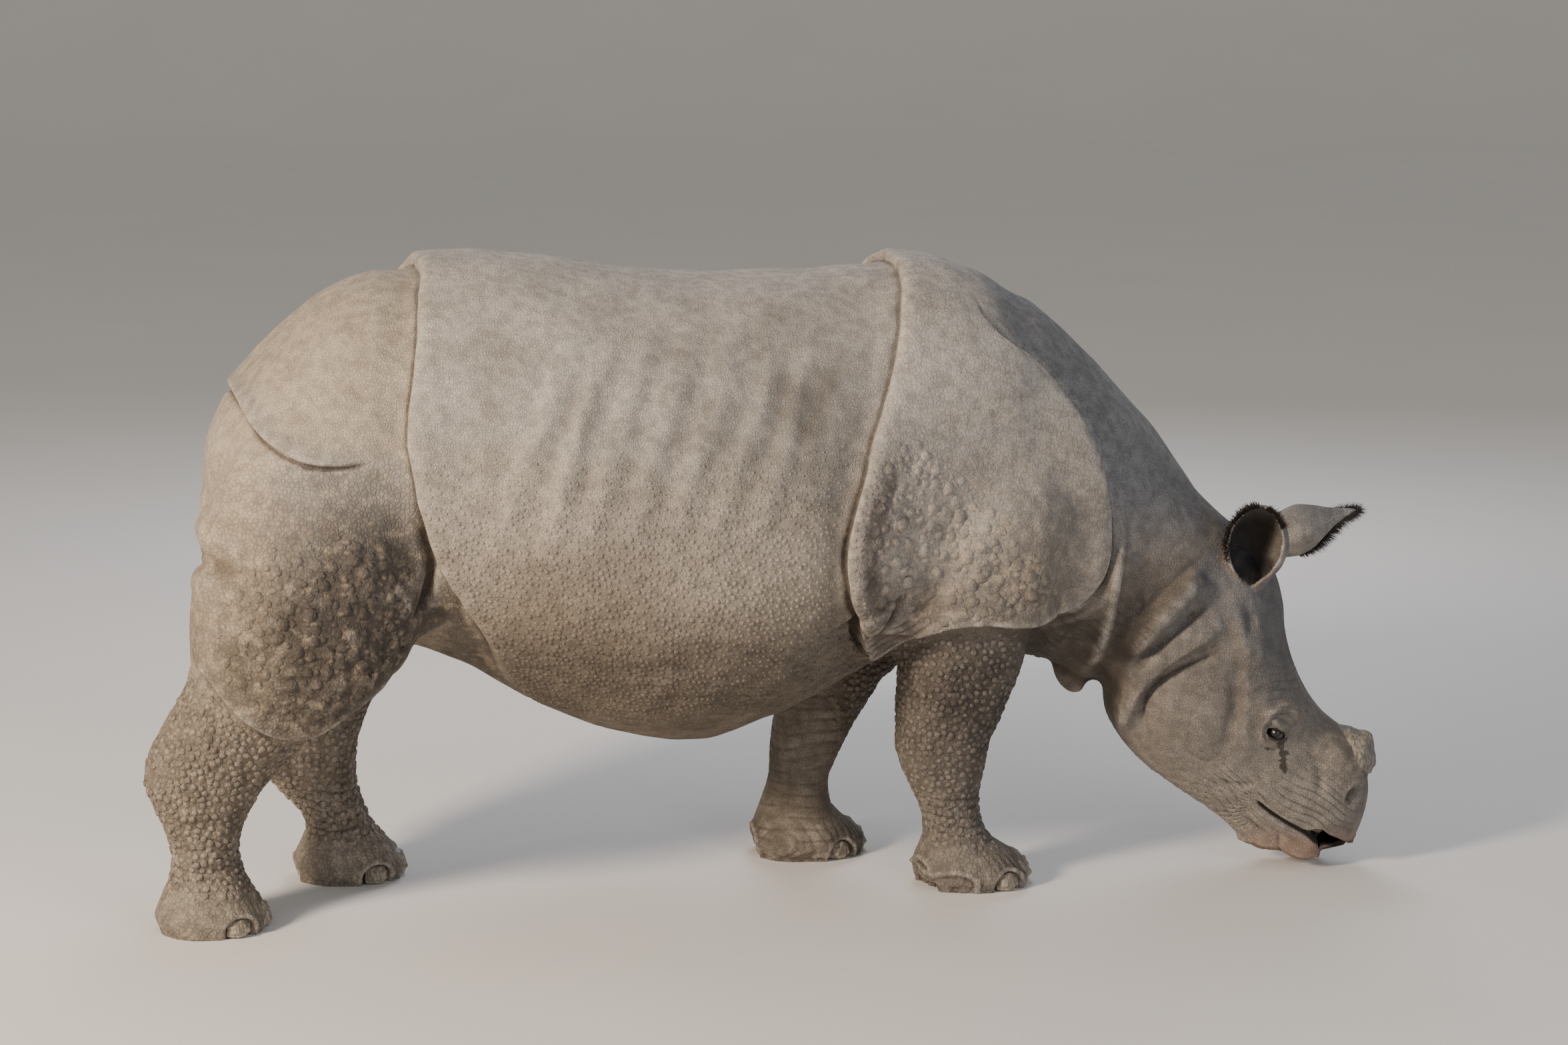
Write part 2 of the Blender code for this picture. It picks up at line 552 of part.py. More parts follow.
def widened(outline, by):
    """An outline moved outwards by the given distance; it runs anticlockwise."""
    made = []
    count = len(outline)
    for i in range(count):
        a, b, c = Vector(outline[i - 1]), Vector(outline[i]), Vector(outline[(i + 1) % count])
        one, two = (b - a).normalized(), (c - b).normalized()
        out = Vector((one.y, -one.x)) + Vector((two.y, -two.x))
        out *= 2 / max(out.length_squared, 0.4)
        made.append(b + out * by)
    return made


def drop_slivers(piece):
    """Keep the piece's largest body, without the slivers that a cut leaves beside it."""
    shape = bmesh.new()
    shape.from_mesh(piece.data)
    left, bodies = set(shape.faces), []
    while left:
        body, front = set(), [left.pop()]
        while front:
            face = front.pop()
            body.add(face)
            for edge in face.edges:
                for other in edge.link_faces:
                    if other in left:
                        left.discard(other)
                        front.append(other)
        bodies.append(body)
    largest = max(bodies, key=lambda body: sum(f.calc_area() for f in body))
    slivers = [f for body in bodies if body is not largest for f in body]
    bmesh.ops.delete(shape, geom=slivers, context="FACES")
    # Facets that a cut divided and that still lie in one plane are joined again.
    bmesh.ops.dissolve_limit(shape, angle_limit=FLAT_JOIN, verts=shape.verts, edges=shape.edges)
    bmesh.ops.triangulate(shape, faces=shape.faces)
    shape.to_mesh(piece.data)
    shape.free()


def part_off(piece, name, outline, inner_y=-WIDE, outer_y=WIDE, lean=0.0):
    """Take the stretch inside an outline away from the piece, as a piece of its own."""
    area = sum(a[0] * b[1] - b[0] * a[1] for a, b in zip(outline, outline[1:] + outline[:1]))
    outline = outline if area > 0 else outline[::-1]
    twin = copy_of(piece, name)
    inner = prism("inner", outline, inner_y, outer_y, lean)
    inner_y -= math.copysign(GAP, outer_y)
    outer = prism("outer", widened(outline, GAP), inner_y, outer_y, lean)
    boolean(twin, inner, "INTERSECT")
    boolean(piece, outer, "DIFFERENCE")
    for part in (twin, piece):
        drop_slivers(part)
    bpy.data.objects.remove(inner)
    bpy.data.objects.remove(outer)
    return twin


def sink_in(body, piece):
    """Make room in the body for a piece that is set into it."""
    room = grown(piece, "room", GAP)
    boolean(body, room, "DIFFERENCE")
    bpy.data.objects.remove(room)


def below(line, floor=BELOW):
    """The outline of everything under a line of the side view."""
    return [*line, (line[-1][0], floor), (line[0][0], floor)]


def shifted(line, by):
    return [(x + by, z) for x, z in line]


def part_body(flesh):
    """Divide the fused body where a person would name its parts."""
    made = {}
    right_cuts = ("right", -1, RIGHT_SKIRT_CUT, HEM_CUT)
    left_cuts = ("left", 1, LEFT_SKIRT_CUT, shifted(HEM_CUT, LEFT_HIND_FORWARD))
    for side, sign, skirt, hem in (right_cuts, left_cuts):
        slab, out = sign * CHEST_SLAB, sign * WIDE
        leg = part_off(flesh, f"foreleg_{side}", below(skirt), slab, out, sign * CHEST_LEAN)
        made[f"forefoot_{side}"] = part_off(leg, f"forefoot_{side}", below([(0.2, ANKLE), (1.4, ANKLE)]))
        made[f"foreleg_{side}"] = leg
        leg = part_off(flesh, f"hindleg_{side}", below(hem), sign * 0.01, sign * WIDE)
        made[f"hindfoot_{side}"] = part_off(leg, f"hindfoot_{side}", below([(BACK, ANKLE), (-0.2, ANKLE)]))
        made[f"hindleg_{side}"] = leg
    rump = part_off(flesh, "hindquarters", [*HIP_CUT, (-0.40, TOP), (BACK, TOP), (BACK, 0.25)])
    for side, sign in (("right", -1), ("left", 1)):
        slab, out = sign * PELVIS_SLAB, sign * WIDE
        made[f"thigh_{side}"] = part_off(rump, f"thigh_{side}", below(THIGH_TOP), slab, out)
    made["hindquarters"] = rump
    made["head"] = part_off(flesh, "head", [*HEAD_LINE, (1.30, BELOW), (FRONT, BELOW), (FRONT, 1.30)])
    made["lower_jaw"] = copy_of(made["head"], "lower_jaw")
    corner = [(MOUTH_BACK[-1][0], BELOW), (FRONT, BELOW)]
    keep = prism("keep", [*corner, *MOUTH_LOWER[::-1], *MOUTH_BACK], -WIDE, WIDE)
    lose = prism("lose", widened([*corner, *MOUTH_UPPER, *MOUTH_BACK], GAP), -WIDE, WIDE)
    boolean(made["lower_jaw"], keep, "INTERSECT")
    boolean(made["head"], lose, "DIFFERENCE")
    for part in (made["lower_jaw"], made["head"]):
        drop_slivers(part)
    bpy.data.objects.remove(keep)
    bpy.data.objects.remove(lose)
    crease = shifted(SHOULDER_FRONT[10:1:-1], 0.015)
    throat = [(1.20, 0.64), (1.16, 0.50), (1.15, BELOW)]
    neck = [(0.90, TOP), (0.96, 1.45), *crease, *throat, (FRONT, BELOW), (FRONT, TOP)]
    made["neck"] = part_off(flesh, "neck", neck)
    under = [(0.60, 0.70), (0.62, 0.60), (0.62, 0.25)]
    barrel = [(0.80, TOP), *SHOULDER_REAR[:12], *under, (BACK, 0.25), (BACK, TOP)]
    made["barrel"] = part_off(flesh, "barrel", barrel)
    flesh.name = "shoulders"
    made["shoulders"] = flesh
    return made


# ---------------------------------------------------------------- set-in pieces
def ball(name, centre, radii, turns=(), detail=2):
    """An egg with the given radii along X, Y and Z, turned about the axes in order."""
    shape = bmesh.new()
    bmesh.ops.create_icosphere(shape, subdivisions=detail, radius=1)
    matrix = Matrix.Diagonal((*radii, 1))
    for axis, angle in turns:
        matrix = Matrix.Rotation(math.radians(angle), 4, axis) @ matrix
    bmesh.ops.transform(shape, matrix=Matrix.Translation(centre) @ matrix, verts=shape.verts)
    return add(name, shape)


def ear(name, root, along, opening, length, girth):
    """A cupped leaf: a wall of even thickness, almost a tube at its root and open towards its tip."""
    along, opening = Vector(along).normalized(), Vector(opening)
    opening = (opening - along * opening.dot(along)).normalized()
    across = along.cross(opening)
    stations = [(0.0, 0.040, 168), (0.12, 0.052, 158), (0.28, 0.069, 138), (0.45, 0.076, 122),
                (0.62, 0.068, 108), (0.78, 0.050, 95), (0.91, 0.029, 85), (0.98, 0.012, 75)]
    shape = bmesh.new()
    sides = 10
    walls = []
    for thick in (0.0, EAR_WALL):
        rows = []
        for t, radius, half in stations:
            radius *= girth
            centre = Vector(root) + along * (length * t) - opening * (radius * 0.4 * t)
            row = []
            for k in range(sides + 1):
                angle = math.radians(half) * (2 * k / sides - 1)
                r = max(radius - thick, 0.004)
                place = centre + across * (math.sin(angle) * r) - opening * (math.cos(angle) * r)
                row.append(shape.verts.new(place))
            rows.append(row)
        walls.append(rows)
    outside, inside = walls
    last = len(stations) - 1
    for i in range(last):
        for k in range(sides):
            shape.faces.new((outside[i][k], outside[i][k + 1], outside[i + 1][k + 1], outside[i + 1][k]))
            shape.faces.new((inside[i][k], inside[i + 1][k], inside[i + 1][k + 1], inside[i][k + 1]))
        shape.faces.new((outside[i][0], outside[i + 1][0], inside[i + 1][0], inside[i][0]))
        shape.faces.new((outside[i][sides], inside[i][sides], inside[i + 1][sides], outside[i + 1][sides]))
    for k in range(sides):
        shape.faces.new((outside[0][k], inside[0][k], inside[0][k + 1], outside[0][k + 1]))
        shape.faces.new((outside[last][k], outside[last][k + 1], inside[last][k + 1], inside[last][k]))
    bmesh.ops.recalc_face_normals(shape, faces=shape.faces)
    bmesh.ops.triangulate(shape, faces=shape.faces)
    return add(name, shape)


def on_skin(skin, start, end):
    """Where a line that comes from outside meets the skin, and the line's direction."""
    points = [v.co for v in skin.data.vertices]
    tree = BVHTree.FromPolygons(points, [f.vertices[:] for f in skin.data.polygons])
    start, end = Vector(turned(start)), Vector(turned(end))
    inward = (end - start).normalized()
    return tree.ray_cast(start, inward)[0], inward


FEET = {        # the middle of each foot, (x, y)
    "forefoot_right": (0.965, -0.19),
    "forefoot_left": (0.62, 0.19),
    "hindfoot_right": (-0.955, -0.215),
    "hindfoot_left": (-0.58, 0.20),
}


def nails(foot, flesh):
    """Three nails round the front of a foot, each in a pocket that is open below."""
    x, y = FEET[foot]
    made = []
    for label, (width, height), turn in zip(("outer", "middle", "inner"), NAIL_SIZES, NAIL_TURNS):
        turn *= 1 if y < 0 else -1
        out = Vector((math.cos(math.radians(turn)), math.sin(math.radians(turn)), 0))
        level = Vector((x, y, height * 0.45))
        place, inward = on_skin(flesh, level + out * 0.2, level)
        centre = place + inward * NAIL_DEPTH
        turns = (("Y", -24), ("Z", turn))
        radii = (NAIL_DEPTH + NAIL_STAND, width / 2, height * 0.62)
        nail = ball(f"{foot}_nail_{label}", centre, radii, turns, 1)
        sink_in(flesh, nail)
        cut_flat(nail, NAIL_LIFT)
        made.append(nail)
    return made


def eye(side, sign, flesh):
    """An eyeball whose front stands a little proud of the socket."""
    x, z = EYE_PLACE
    place, inward = on_skin(flesh, (x, sign, z), (x, 0, z))
    return ball(f"eye_{side}", place + inward * (EYE_RADIUS - EYE_STAND), (EYE_RADIUS,) * 3)


def stand_on_origin():
    """Bring the middle of the whole animal's ground plan to the origin."""
    pieces = [piece for piece in bpy.data.objects if piece.type == "MESH"]
    corners = np.array([v.co[:2] for piece in pieces for v in piece.data.vertices])
    middle = (corners.min(0) + corners.max(0)) / 2
    for piece in pieces:
        piece.data.transform(Matrix.Translation((-middle[0], -middle[1], 0)))


def finish(piece, name, colour, roughness):
    """Name and colour a piece."""
    piece.name = name
    piece.data.name = name
    material = bpy.data.materials.new(name)
    material.use_nodes = True
    shader = material.node_tree.nodes["Principled BSDF"]
    shader.inputs["Base Color"].default_value = (*colour, 1)
    shader.inputs["Roughness"].default_value = roughness
    shader.inputs["Metallic"].default_value = 0
    piece.data.materials.clear()
    piece.data.materials.append(material)


def main():
    for old in list(bpy.data.objects):
        bpy.data.objects.remove(old)
    flesh = fuse("flesh", [
        loft("trunk", TRUNK),
        loft("neck", NECK),
        loft("head", HEAD),
        loft("dewlap", DEWLAP),
        loft("throat_fold", THROAT_FOLD),
        loft("foreleg_right", FORELEG_RIGHT, -1),
        loft("foreleg_left", FORELEG_LEFT, 1),
        loft("hindleg_right", HINDLEG_RIGHT, -1),
        loft("hindleg_left", HINDLEG_LEFT, 1),
    ])
    relief(flesh)
    turn(flesh)
    thin_out(flesh)
    cut_flat(flesh, 0)
    # The pieces that stand on the skin are trimmed to it, and the ones set into it get a pocket.
    skin = grown(flesh, "skin", GAP)
    right_ear = turn(ear("ear_right", *RIGHT_EAR))
    left_ear = turn(ear("ear_left", *LEFT_EAR))
    tail = loft("tail", TAIL, 0, 10, 1)
    tuft = loft("tail_tuft", TAIL_TUFT, 0, 10, 1)
    for piece in (right_ear, left_ear, tail, tuft):
        boolean(piece, skin, "DIFFERENCE")
    bpy.data.objects.remove(skin)
    horn = turn(ball("horn", (1.972, 0, 0.295), (0.085, 0.068, 0.066), (("Y", 38),)))
    eyes = [eye("right", -1, flesh), eye("left", 1, flesh)]
    toes = [nail for foot in FEET for nail in nails(foot, flesh)]
    for piece in (horn, *eyes):
        sink_in(flesh, piece)
    parted = part_body(flesh)
    stand_on_origin()
    for name, piece in parted.items():
        finish(piece, name, HIDE, 0.85)
    finish(right_ear, "ear_right", HIDE, 0.85)
    finish(left_ear, "ear_left", HIDE, 0.85)
    finish(tail, "tail", HIDE, 0.85)
    finish(tuft, "tail_tuft", (0.02, 0.017, 0.014), 0.6)
    finish(horn, "horn", (0.20, 0.165, 0.13), 0.75)
    for eyeball in eyes:
        finish(eyeball, eyeball.name, (0.012, 0.008, 0.006), 0.08)
    for nail in toes:
        finish(nail, nail.name, (0.10, 0.085, 0.07), 0.55)


main()
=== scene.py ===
"""Dresses a packed, life-size Indian rhinoceros: one folded hide over its flesh, wet eyes,
a worn horn stump, toenails, ear and tail bristles, and the studio that it stands in.

The folds are laid out on a straight body, seen from its side: x runs towards the head,
z is the height, and the neck is turned to the right only when the hide is finished.
"""

import functools
import itertools
import math
import typing

import bmesh
import bpy
import numpy as np
from bpy.props import FloatProperty, FloatVectorProperty, IntProperty, PointerProperty
from mathutils import Matrix, Vector


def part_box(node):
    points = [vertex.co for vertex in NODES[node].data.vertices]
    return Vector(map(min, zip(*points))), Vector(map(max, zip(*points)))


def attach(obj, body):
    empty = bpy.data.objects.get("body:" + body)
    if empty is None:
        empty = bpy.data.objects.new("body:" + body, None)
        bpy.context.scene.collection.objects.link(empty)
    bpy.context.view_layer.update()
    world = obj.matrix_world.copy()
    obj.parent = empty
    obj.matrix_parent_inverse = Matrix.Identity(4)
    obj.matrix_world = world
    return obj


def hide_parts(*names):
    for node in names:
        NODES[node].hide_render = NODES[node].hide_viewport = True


bl_info = {
    "name": "Rhinoceros dresser",
    "version": (1, 0, 0),
    "blender": (4, 5, 0),
    "location": "3D View > Sidebar > Rhinoceros",
    "description": "Covers a rhinoceros of plain solids with its folded hide, eyes, horn, nails and bristles",
    "category": "Object",
}

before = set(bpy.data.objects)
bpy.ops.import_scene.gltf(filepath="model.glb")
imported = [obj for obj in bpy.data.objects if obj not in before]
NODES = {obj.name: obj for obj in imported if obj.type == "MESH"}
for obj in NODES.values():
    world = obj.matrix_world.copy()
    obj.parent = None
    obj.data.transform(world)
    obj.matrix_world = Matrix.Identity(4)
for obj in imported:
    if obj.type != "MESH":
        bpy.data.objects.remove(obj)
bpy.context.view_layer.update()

# ------------------------------------------------------------------ the straight body
BODY_ORIGIN = (0.4507, -0.0019)     # where the frame's origin lies on the straight body, x and y
TURN_START = 1.05                   # the neck begins to turn to the right here
TURN_END = 1.45                     # and the head beyond this is turned by the whole angle
TURN_ANGLE = math.radians(18)
TURN_RADIUS = (TURN_END - TURN_START) / TURN_ANGLE

# Side views (x, z) of the edges of the hide's plates and regions. The raised plate, the head and
# the upper lip lie to the left of theirs.
EDGES = {
    "rear": [
        (0.80, 1.75), (0.775, 1.58), (0.74, 1.48), (0.715, 1.41), (0.69, 1.34), (0.655, 1.25),
        (0.625, 1.18), (0.60, 1.09), (0.575, 1.01), (0.56, 0.93), (0.56, 0.86), (0.575, 0.79),
        (0.61, 0.73), (0.66, 0.67), (0.72, 0.58),
    ],
    "hem": [
        (0.50, 0.78), (0.61, 0.72), (0.66, 0.70), (0.74, 0.70), (0.82, 0.712), (0.88, 0.718),
        (0.973, 0.706), (1.027, 0.703), (1.081, 0.708), (1.125, 0.714), (1.16, 0.718),
    ],
    "front": [
        (1.02, 0.700), (1.10, 0.708), (1.17, 0.716), (1.235, 0.735), (1.285, 0.765), (1.322, 0.81),
        (1.338, 0.87), (1.338, 0.93), (1.322, 1.03), (1.29, 1.12), (1.23, 1.21), (1.15, 1.30),
        (1.08, 1.355), (1.02, 1.39), (0.96, 1.45), (0.90, 1.60),
    ],
    "skirt": [
        (0.598, 0.745), (0.622, 0.675), (0.652, 0.622), (0.693, 0.637), (0.725, 0.653), (0.762, 0.675),
        (0.805, 0.700), (0.85, 0.713), (0.93, 0.713),
    ],
    "hip": [
        (-0.395, 1.72), (-0.41, 1.60), (-0.435, 1.53), (-0.45, 1.44), (-0.465, 1.35), (-0.48, 1.27),
        (-0.485, 1.20), (-0.475, 1.13), (-0.465, 1.06), (-0.445, 0.99), (-0.42, 0.92), (-0.385, 0.855),
        (-0.34, 0.78), (-0.29, 0.70), (-0.24, 0.60), (-0.16, 0.50),
    ],
    "flap": [
        (-0.93, 1.36), (-0.87, 1.295), (-0.82, 1.22), (-0.76, 1.18), (-0.70, 1.16), (-0.62, 1.16),
        (-0.55, 1.18),
    ],
    "thigh_hem": [
        (-1.06, 0.72), (-0.98, 0.67), (-0.92, 0.595), (-0.86, 0.54), (-0.785, 0.50), (-0.71, 0.51),
        (-0.64, 0.55), (-0.57, 0.60), (-0.50, 0.66),
    ],
    "head_edge": [
        (1.90, 1.30), (1.665, 0.93), (1.60, 0.82), (1.53, 0.72), (1.45, 0.625), (1.402, 0.54),
        (1.385, 0.46), (1.36, 0.38), (1.30, 0.20),
    ],
    "mouth": [
        (1.735, 0.20), (1.77, 0.168), (1.81, 0.14), (1.86, 0.11), (1.90, 0.082), (1.945, 0.058),
        (1.99, 0.045),
    ],
}
# The hollow of the open mouth lies between these two.
LIP_TOP = ((1.86, 0.116), (1.91, 0.120), (1.93, 0.102), (1.955, 0.086), (1.98, 0.068))
LIP_FOOT = ((1.86, 0.108), (1.886, 0.086), (1.925, 0.062), (1.98, 0.050))
LEFT_HIND_FORWARD = 0.12            # how far the left hind leg's hem lies ahead of the right one's

# Rims of the plates, by their edges: the rim's width and height, the depth and width of the crease
# beside it, the step down beyond it, and how much of each end of the edge fades.
RIMS = {
    "rear": (0.030, 0.0050, 0.012, 0.0070, 0.0055, (0.01, 0.06)),
    "hip": (0.034, 0.0036, 0.008, 0.0055, 0.005, (0.02, 0.25)),
    "hem": (0.012, 0.0030, 0.018, 0.0100, 0.014, (0.15, 0.10)),
    "skirt": (0.009, 0.0030, 0.018, 0.0090, 0.020, (0.03, 0.10)),
    "flap": (0.036, 0.0065, 0.010, 0.0070, 0.006, (0.20, 0.35)),
    "thigh_hem": (0.022, 0.0020, 0.014, 0.0095, 0.009, (0.15, 0.15)),
    "front": (0.014, 0.0030, 0.019, 0.0052, 0.006, (0.08, 0.12)),
}
# Narrow grooves: side view, depth, half width, how much of each end fades.
GROOVES = [
    ([(-0.468, 1.07), (-0.455, 0.985), (-0.438, 0.93), (-0.432, 0.87), (-0.442, 0.81), (-0.47, 0.75)],
     0.028, 0.0105, 0.25),
    ([(-0.375, 0.86), (-0.36, 0.79), (-0.345, 0.72)], 0.005, 0.010, 0.4),
    ([(0.712, 0.81), (0.704, 0.768), (0.69, 0.737), (0.668, 0.707), (0.648, 0.685)], 0.024, 0.010, 0.3),
    ([(-1.05, 0.915), (-0.98, 0.925), (-0.91, 0.905), (-0.86, 0.91)], 0.012, 0.030, 0.35),
    ([(-1.02, 0.835), (-0.96, 0.80), (-0.90, 0.79)], 0.007, 0.024, 0.4),
    ([(1.665, 0.605), (1.60, 0.575), (1.535, 0.545), (1.48, 0.505), (1.450, 0.445), (1.46, 0.36)],
     0.018, 0.010, 0.25),
    ([(1.61, 0.72), (1.563, 0.68), (1.50, 0.622), (1.455, 0.585), (1.42, 0.54)], 0.017, 0.011, 0.25),
    ([(1.60, 0.83), (1.545, 0.79), (1.48, 0.735), (1.42, 0.67)], 0.010, 0.012, 0.3),
    ([(1.668, 0.57), (1.685, 0.50), (1.686, 0.44), (1.668, 0.38), (1.64, 0.31), (1.59, 0.26)],
     0.009, 0.022, 0.3),
    ([(1.770, 0.405), (1.788, 0.428), (1.814, 0.432), (1.840, 0.408)], 0.006, 0.0055, 0.3),
    ([(1.80, 0.11), (1.803, 0.07), (1.812, 0.02)], 0.007, 0.006, 0.3),
    ([(1.39, 0.90), (1.39, 0.80), (1.372, 0.70), (1.34, 0.61)], 0.009, 0.022, 0.4),
    ([(1.70, 0.74), (1.72, 0.67), (1.70, 0.61)], 0.007, 0.014, 0.4),
    ([(1.60, 0.27), (1.66, 0.245), (1.72, 0.24), (1.76, 0.26)], 0.006, 0.008, 0.4),
    ([(1.70, 0.18), (1.735, 0.125), (1.79, 0.09)], 0.007, 0.008, 0.4),
    ([(1.86, 0.33), (1.895, 0.29), (1.90, 0.23), (1.88, 0.18)], 0.008, 0.012, 0.35),
]
# Rounded rolls: side view, height, half width.
ROLLS = [
    ([(1.60, 0.79), (1.555, 0.745), (1.50, 0.69), (1.45, 0.635), (1.41, 0.585)], 0.022, 0.021),
    ([(1.67, 0.665), (1.60, 0.632), (1.53, 0.59), (1.47, 0.543), (1.43, 0.48), (1.405, 0.40), (1.41, 0.34)],
     0.022, 0.021),
    ([(1.665, 0.76), (1.685, 0.68), (1.708, 0.60), (1.706, 0.52), (1.712, 0.45), (1.708, 0.37),
      (1.735, 0.31)], 0.009, 0.019),
    ([(1.750, 0.385), (1.762, 0.424), (1.788, 0.447), (1.820, 0.450), (1.846, 0.425), (1.858, 0.39)],
     0.009, 0.010),
    ([(-0.458, 0.91), (-0.478, 0.84), (-0.507, 0.786), (-0.522, 0.736), (-0.52, 0.68)], 0.008, 0.015),
    ([(1.37, 0.90), (1.365, 0.80), (1.345, 0.70), (1.31, 0.60), (1.29, 0.53)], 0.012, 0.022),
    ([(0.735, 1.55), (0.70, 1.45), (0.675, 1.38), (0.64, 1.28)], 0.007, 0.016),
    ([(1.72, 0.24), (1.77, 0.215), (1.82, 0.185), (1.87, 0.15)], 0.006, 0.014),
]
# Broad swellings and hollows: x, z, their reach in x and z, height.
SWELLS = [
    (1.855, 0.045, 0.042, 0.034, 0.014),
    (1.760, 0.060, 0.042, 0.032, 0.010),
    (1.325, 0.490, 0.034, 0.060, -0.030),
    (1.945, 0.312, 0.040, 0.050, 0.011),
    (1.90, 0.20, 0.05, 0.06, 0.008),
    (1.93, 0.13, 0.035, 0.030, 0.006),
    (-0.97, 1.00, 0.05, 0.045, 0.024),
    (-0.89, 1.06, 0.05, 0.04, 0.014),
    (-0.99, 0.87, 0.05, 0.035, 0.014),
    (-0.92, 0.97, 0.04, 0.03, 0.008),
    (1.985, 0.20, 0.020, 0.024, -0.010),
]
SWELL_ROUND = 1.20          # swells beyond this x go all round the neck and the head
DEWLAP = (1.272, -0.045, 0.548)     # the middle of the flap under the throat
DEWLAP_RADII = (0.070, 0.036, 0.106)
RIB_FIRST = -0.188          # the rearmost rib, at the height of RIB_HEIGHT
RIB_COUNT = 7
RIB_SPACING = 0.102
RIB_LEAN = 0.37             # how far a rib leans forward for each metre up
RIB_HEIGHT = 1.20

SIDES = ("right", "left")
EAR_WALL = 0.011
# Ears: root, the way they point, the way they open, length, girth, how much they narrow to a point.
EARS = {
    "ear_right": ((1.715, -0.105, 0.765), (0.10, -0.55, 0.83), (-0.2, -0.85, -0.47), 0.24, 1.08, 0.0),
    "ear_left": ((1.745, 0.105, 0.81), (0.94, 0.22, 0.33), (0.0, 0.6, -0.8), 0.27, 0.9, 0.55),
}
# How far up the ear, its radius, and half the angle that its wall spans in degrees.
EAR_STATIONS = np.array((
    (0.0, 0.040, 168), (0.12, 0.052, 158), (0.28, 0.069, 138), (0.45, 0.076, 122),
    (0.62, 0.068, 108), (0.78, 0.050, 95), (0.91, 0.029, 85), (0.98, 0.012, 75),
))
NOSTRIL = (1.985, 0.205)        # side view of its middle
EYE_SPOT = (1.787, 0.38)        # side view of the eye, for the creases round it
EYE_SLANT = math.radians(32)    # the slit of the eye falls towards the muzzle
EYE_SLIT = (0.0250, 0.0150)     # half length and half height of the opening
LID_THICKNESS = 0.0035
SOCKET_RADIUS = 0.0212
# Swellings of the lids: height, middle along the slit and above it, reach both ways.
LID_LUMPS = (
    (0.0165, (-0.006, 0.0210), (0.022, 0.0105)),
    (0.0075, (-0.016, -0.0330), (0.016, 0.0120)),
    (0.0040, (0.0, -0.0185), (0.020, 0.0060)),
)
# Creases of the lids: height above the slit, depth, width.
LID_CREASES = ((0.0365, 0.0060, 0.0040), (-0.0255, 0.0034, 0.0030), (-0.0475, 0.0030, 0.0040))
HORN_LEAN = math.radians(38)    # how far the horn's fibres lean forwards
HORN_NUB = (2.034, 0.346)       # side view of the horn's blunt tip
FLESH = sorted(n for n in NODES if "nail" not in n and not n.startswith(("eye", "horn", "ear", "tail_tuft")))
FEET = ("forefoot_right", "forefoot_left", "hindfoot_right", "hindfoot_left")
NAIL_ANGLES = {"outer": -62, "middle": 0, "inner": 62}
HORN_CELL = 0.0028
NAIL_CELL = 0.0026
MERGE_DISTANCE = 0.00002
HEAD_START = 1.40               # finer facets of the hide from this x on
EYE_AREA = 0.055                # round each eye the hide has the finest facets and no folds
FOOT_END = 1.2                  # the feet lie behind this x, the muzzle ahead of it
EAR_SIDES = 40
CHART_STEP = 0.008              # cell of the side-view charts that hold the distance to each fold


# ------------------------------------------------------------------ small helpers
def settings(name):
    """A group of the settings, as they stand in the scene."""
    return getattr(bpy.context.scene, name)


def linear(hex_colour):
    """A linear colour from an sRGB hex value such as "#8C8375"."""
    parts = [int(hex_colour[i:i + 2], 16) / 255 for i in (1, 3, 5)]
    return tuple(c / 12.92 if c <= 0.04045 else ((c + 0.055) / 1.055) ** 2.4 for c in parts) + (1.0,)


def soft(value):
    """0 below 0, 1 above 1, and an even slope without corners between them."""
    value = np.clip(value, 0, 1)
    return value * value * (3 - 2 * value)


def render_level(fine):
    return fine


def deselect_all():
    """Leave edit mode and select nothing."""
    if bpy.context.object and bpy.context.object.mode != "OBJECT":
        bpy.ops.object.mode_set(mode="OBJECT")
    bpy.ops.object.select_all(action="DESELECT")


def select(pieces):
    """Select just these pieces; the first is the active one."""
    deselect_all()
    for piece in pieces:
        piece.select_set(True)
    bpy.context.view_layer.objects.active = pieces[0]


def apply_modifier(piece, kind, **values):
    """Add a modifier with its values and apply it."""
    modifier = piece.modifiers.new(kind.lower(), kind)
    for name, value in values.items():
        setattr(modifier, name, value)
    select([piece])
    bpy.ops.object.modifier_apply(modifier=modifier.name)


def remesh(piece, cell):
    """Build a piece's surface anew from even facets of about a cell."""
    apply_modifier(piece, "REMESH", mode="VOXEL", voxel_size=cell, use_smooth_shade=True)


def edit_all(piece, operation, **values):
    """Run a mesh operation on the whole of a piece."""
    select([piece])
    bpy.ops.object.mode_set(mode="EDIT")
    bpy.ops.mesh.select_all(action="SELECT")
    operation(**values)
    bpy.ops.object.mode_set(mode="OBJECT")


def node_copy(name):
    """A loose copy of a solid's mesh, merged into one surface."""
    piece = bpy.data.objects.new(name + "_copy", NODES[name].data.copy())
    bpy.context.scene.collection.objects.link(piece)
    piece.data.materials.clear()
    edit_all(piece, bpy.ops.mesh.remove_doubles, threshold=MERGE_DISTANCE)
    return piece


def read_places(mesh, what="co"):
    """The places of a mesh's vertices, or another of their vectors."""
    values = np.empty(len(mesh.vertices) * 3, np.float32)
    mesh.vertices.foreach_get(what, values)
    return values.reshape(-1, 3).astype(np.float64)


def read_surface(mesh):
    """The places and the normals of a mesh's vertices."""
    return read_places(mesh), read_places(mesh, "normal")


def write_places(mesh, places):
    """Move a mesh's vertices to new places."""
    mesh.vertices.foreach_set("co", places.astype(np.float32).ravel())
    mesh.update()


def read_edges(mesh):
    """The two vertices of each edge."""
    pairs = np.empty(len(mesh.edges) * 2, np.int32)
    mesh.edges.foreach_get("vertices", pairs)
    return pairs.reshape(-1, 2)


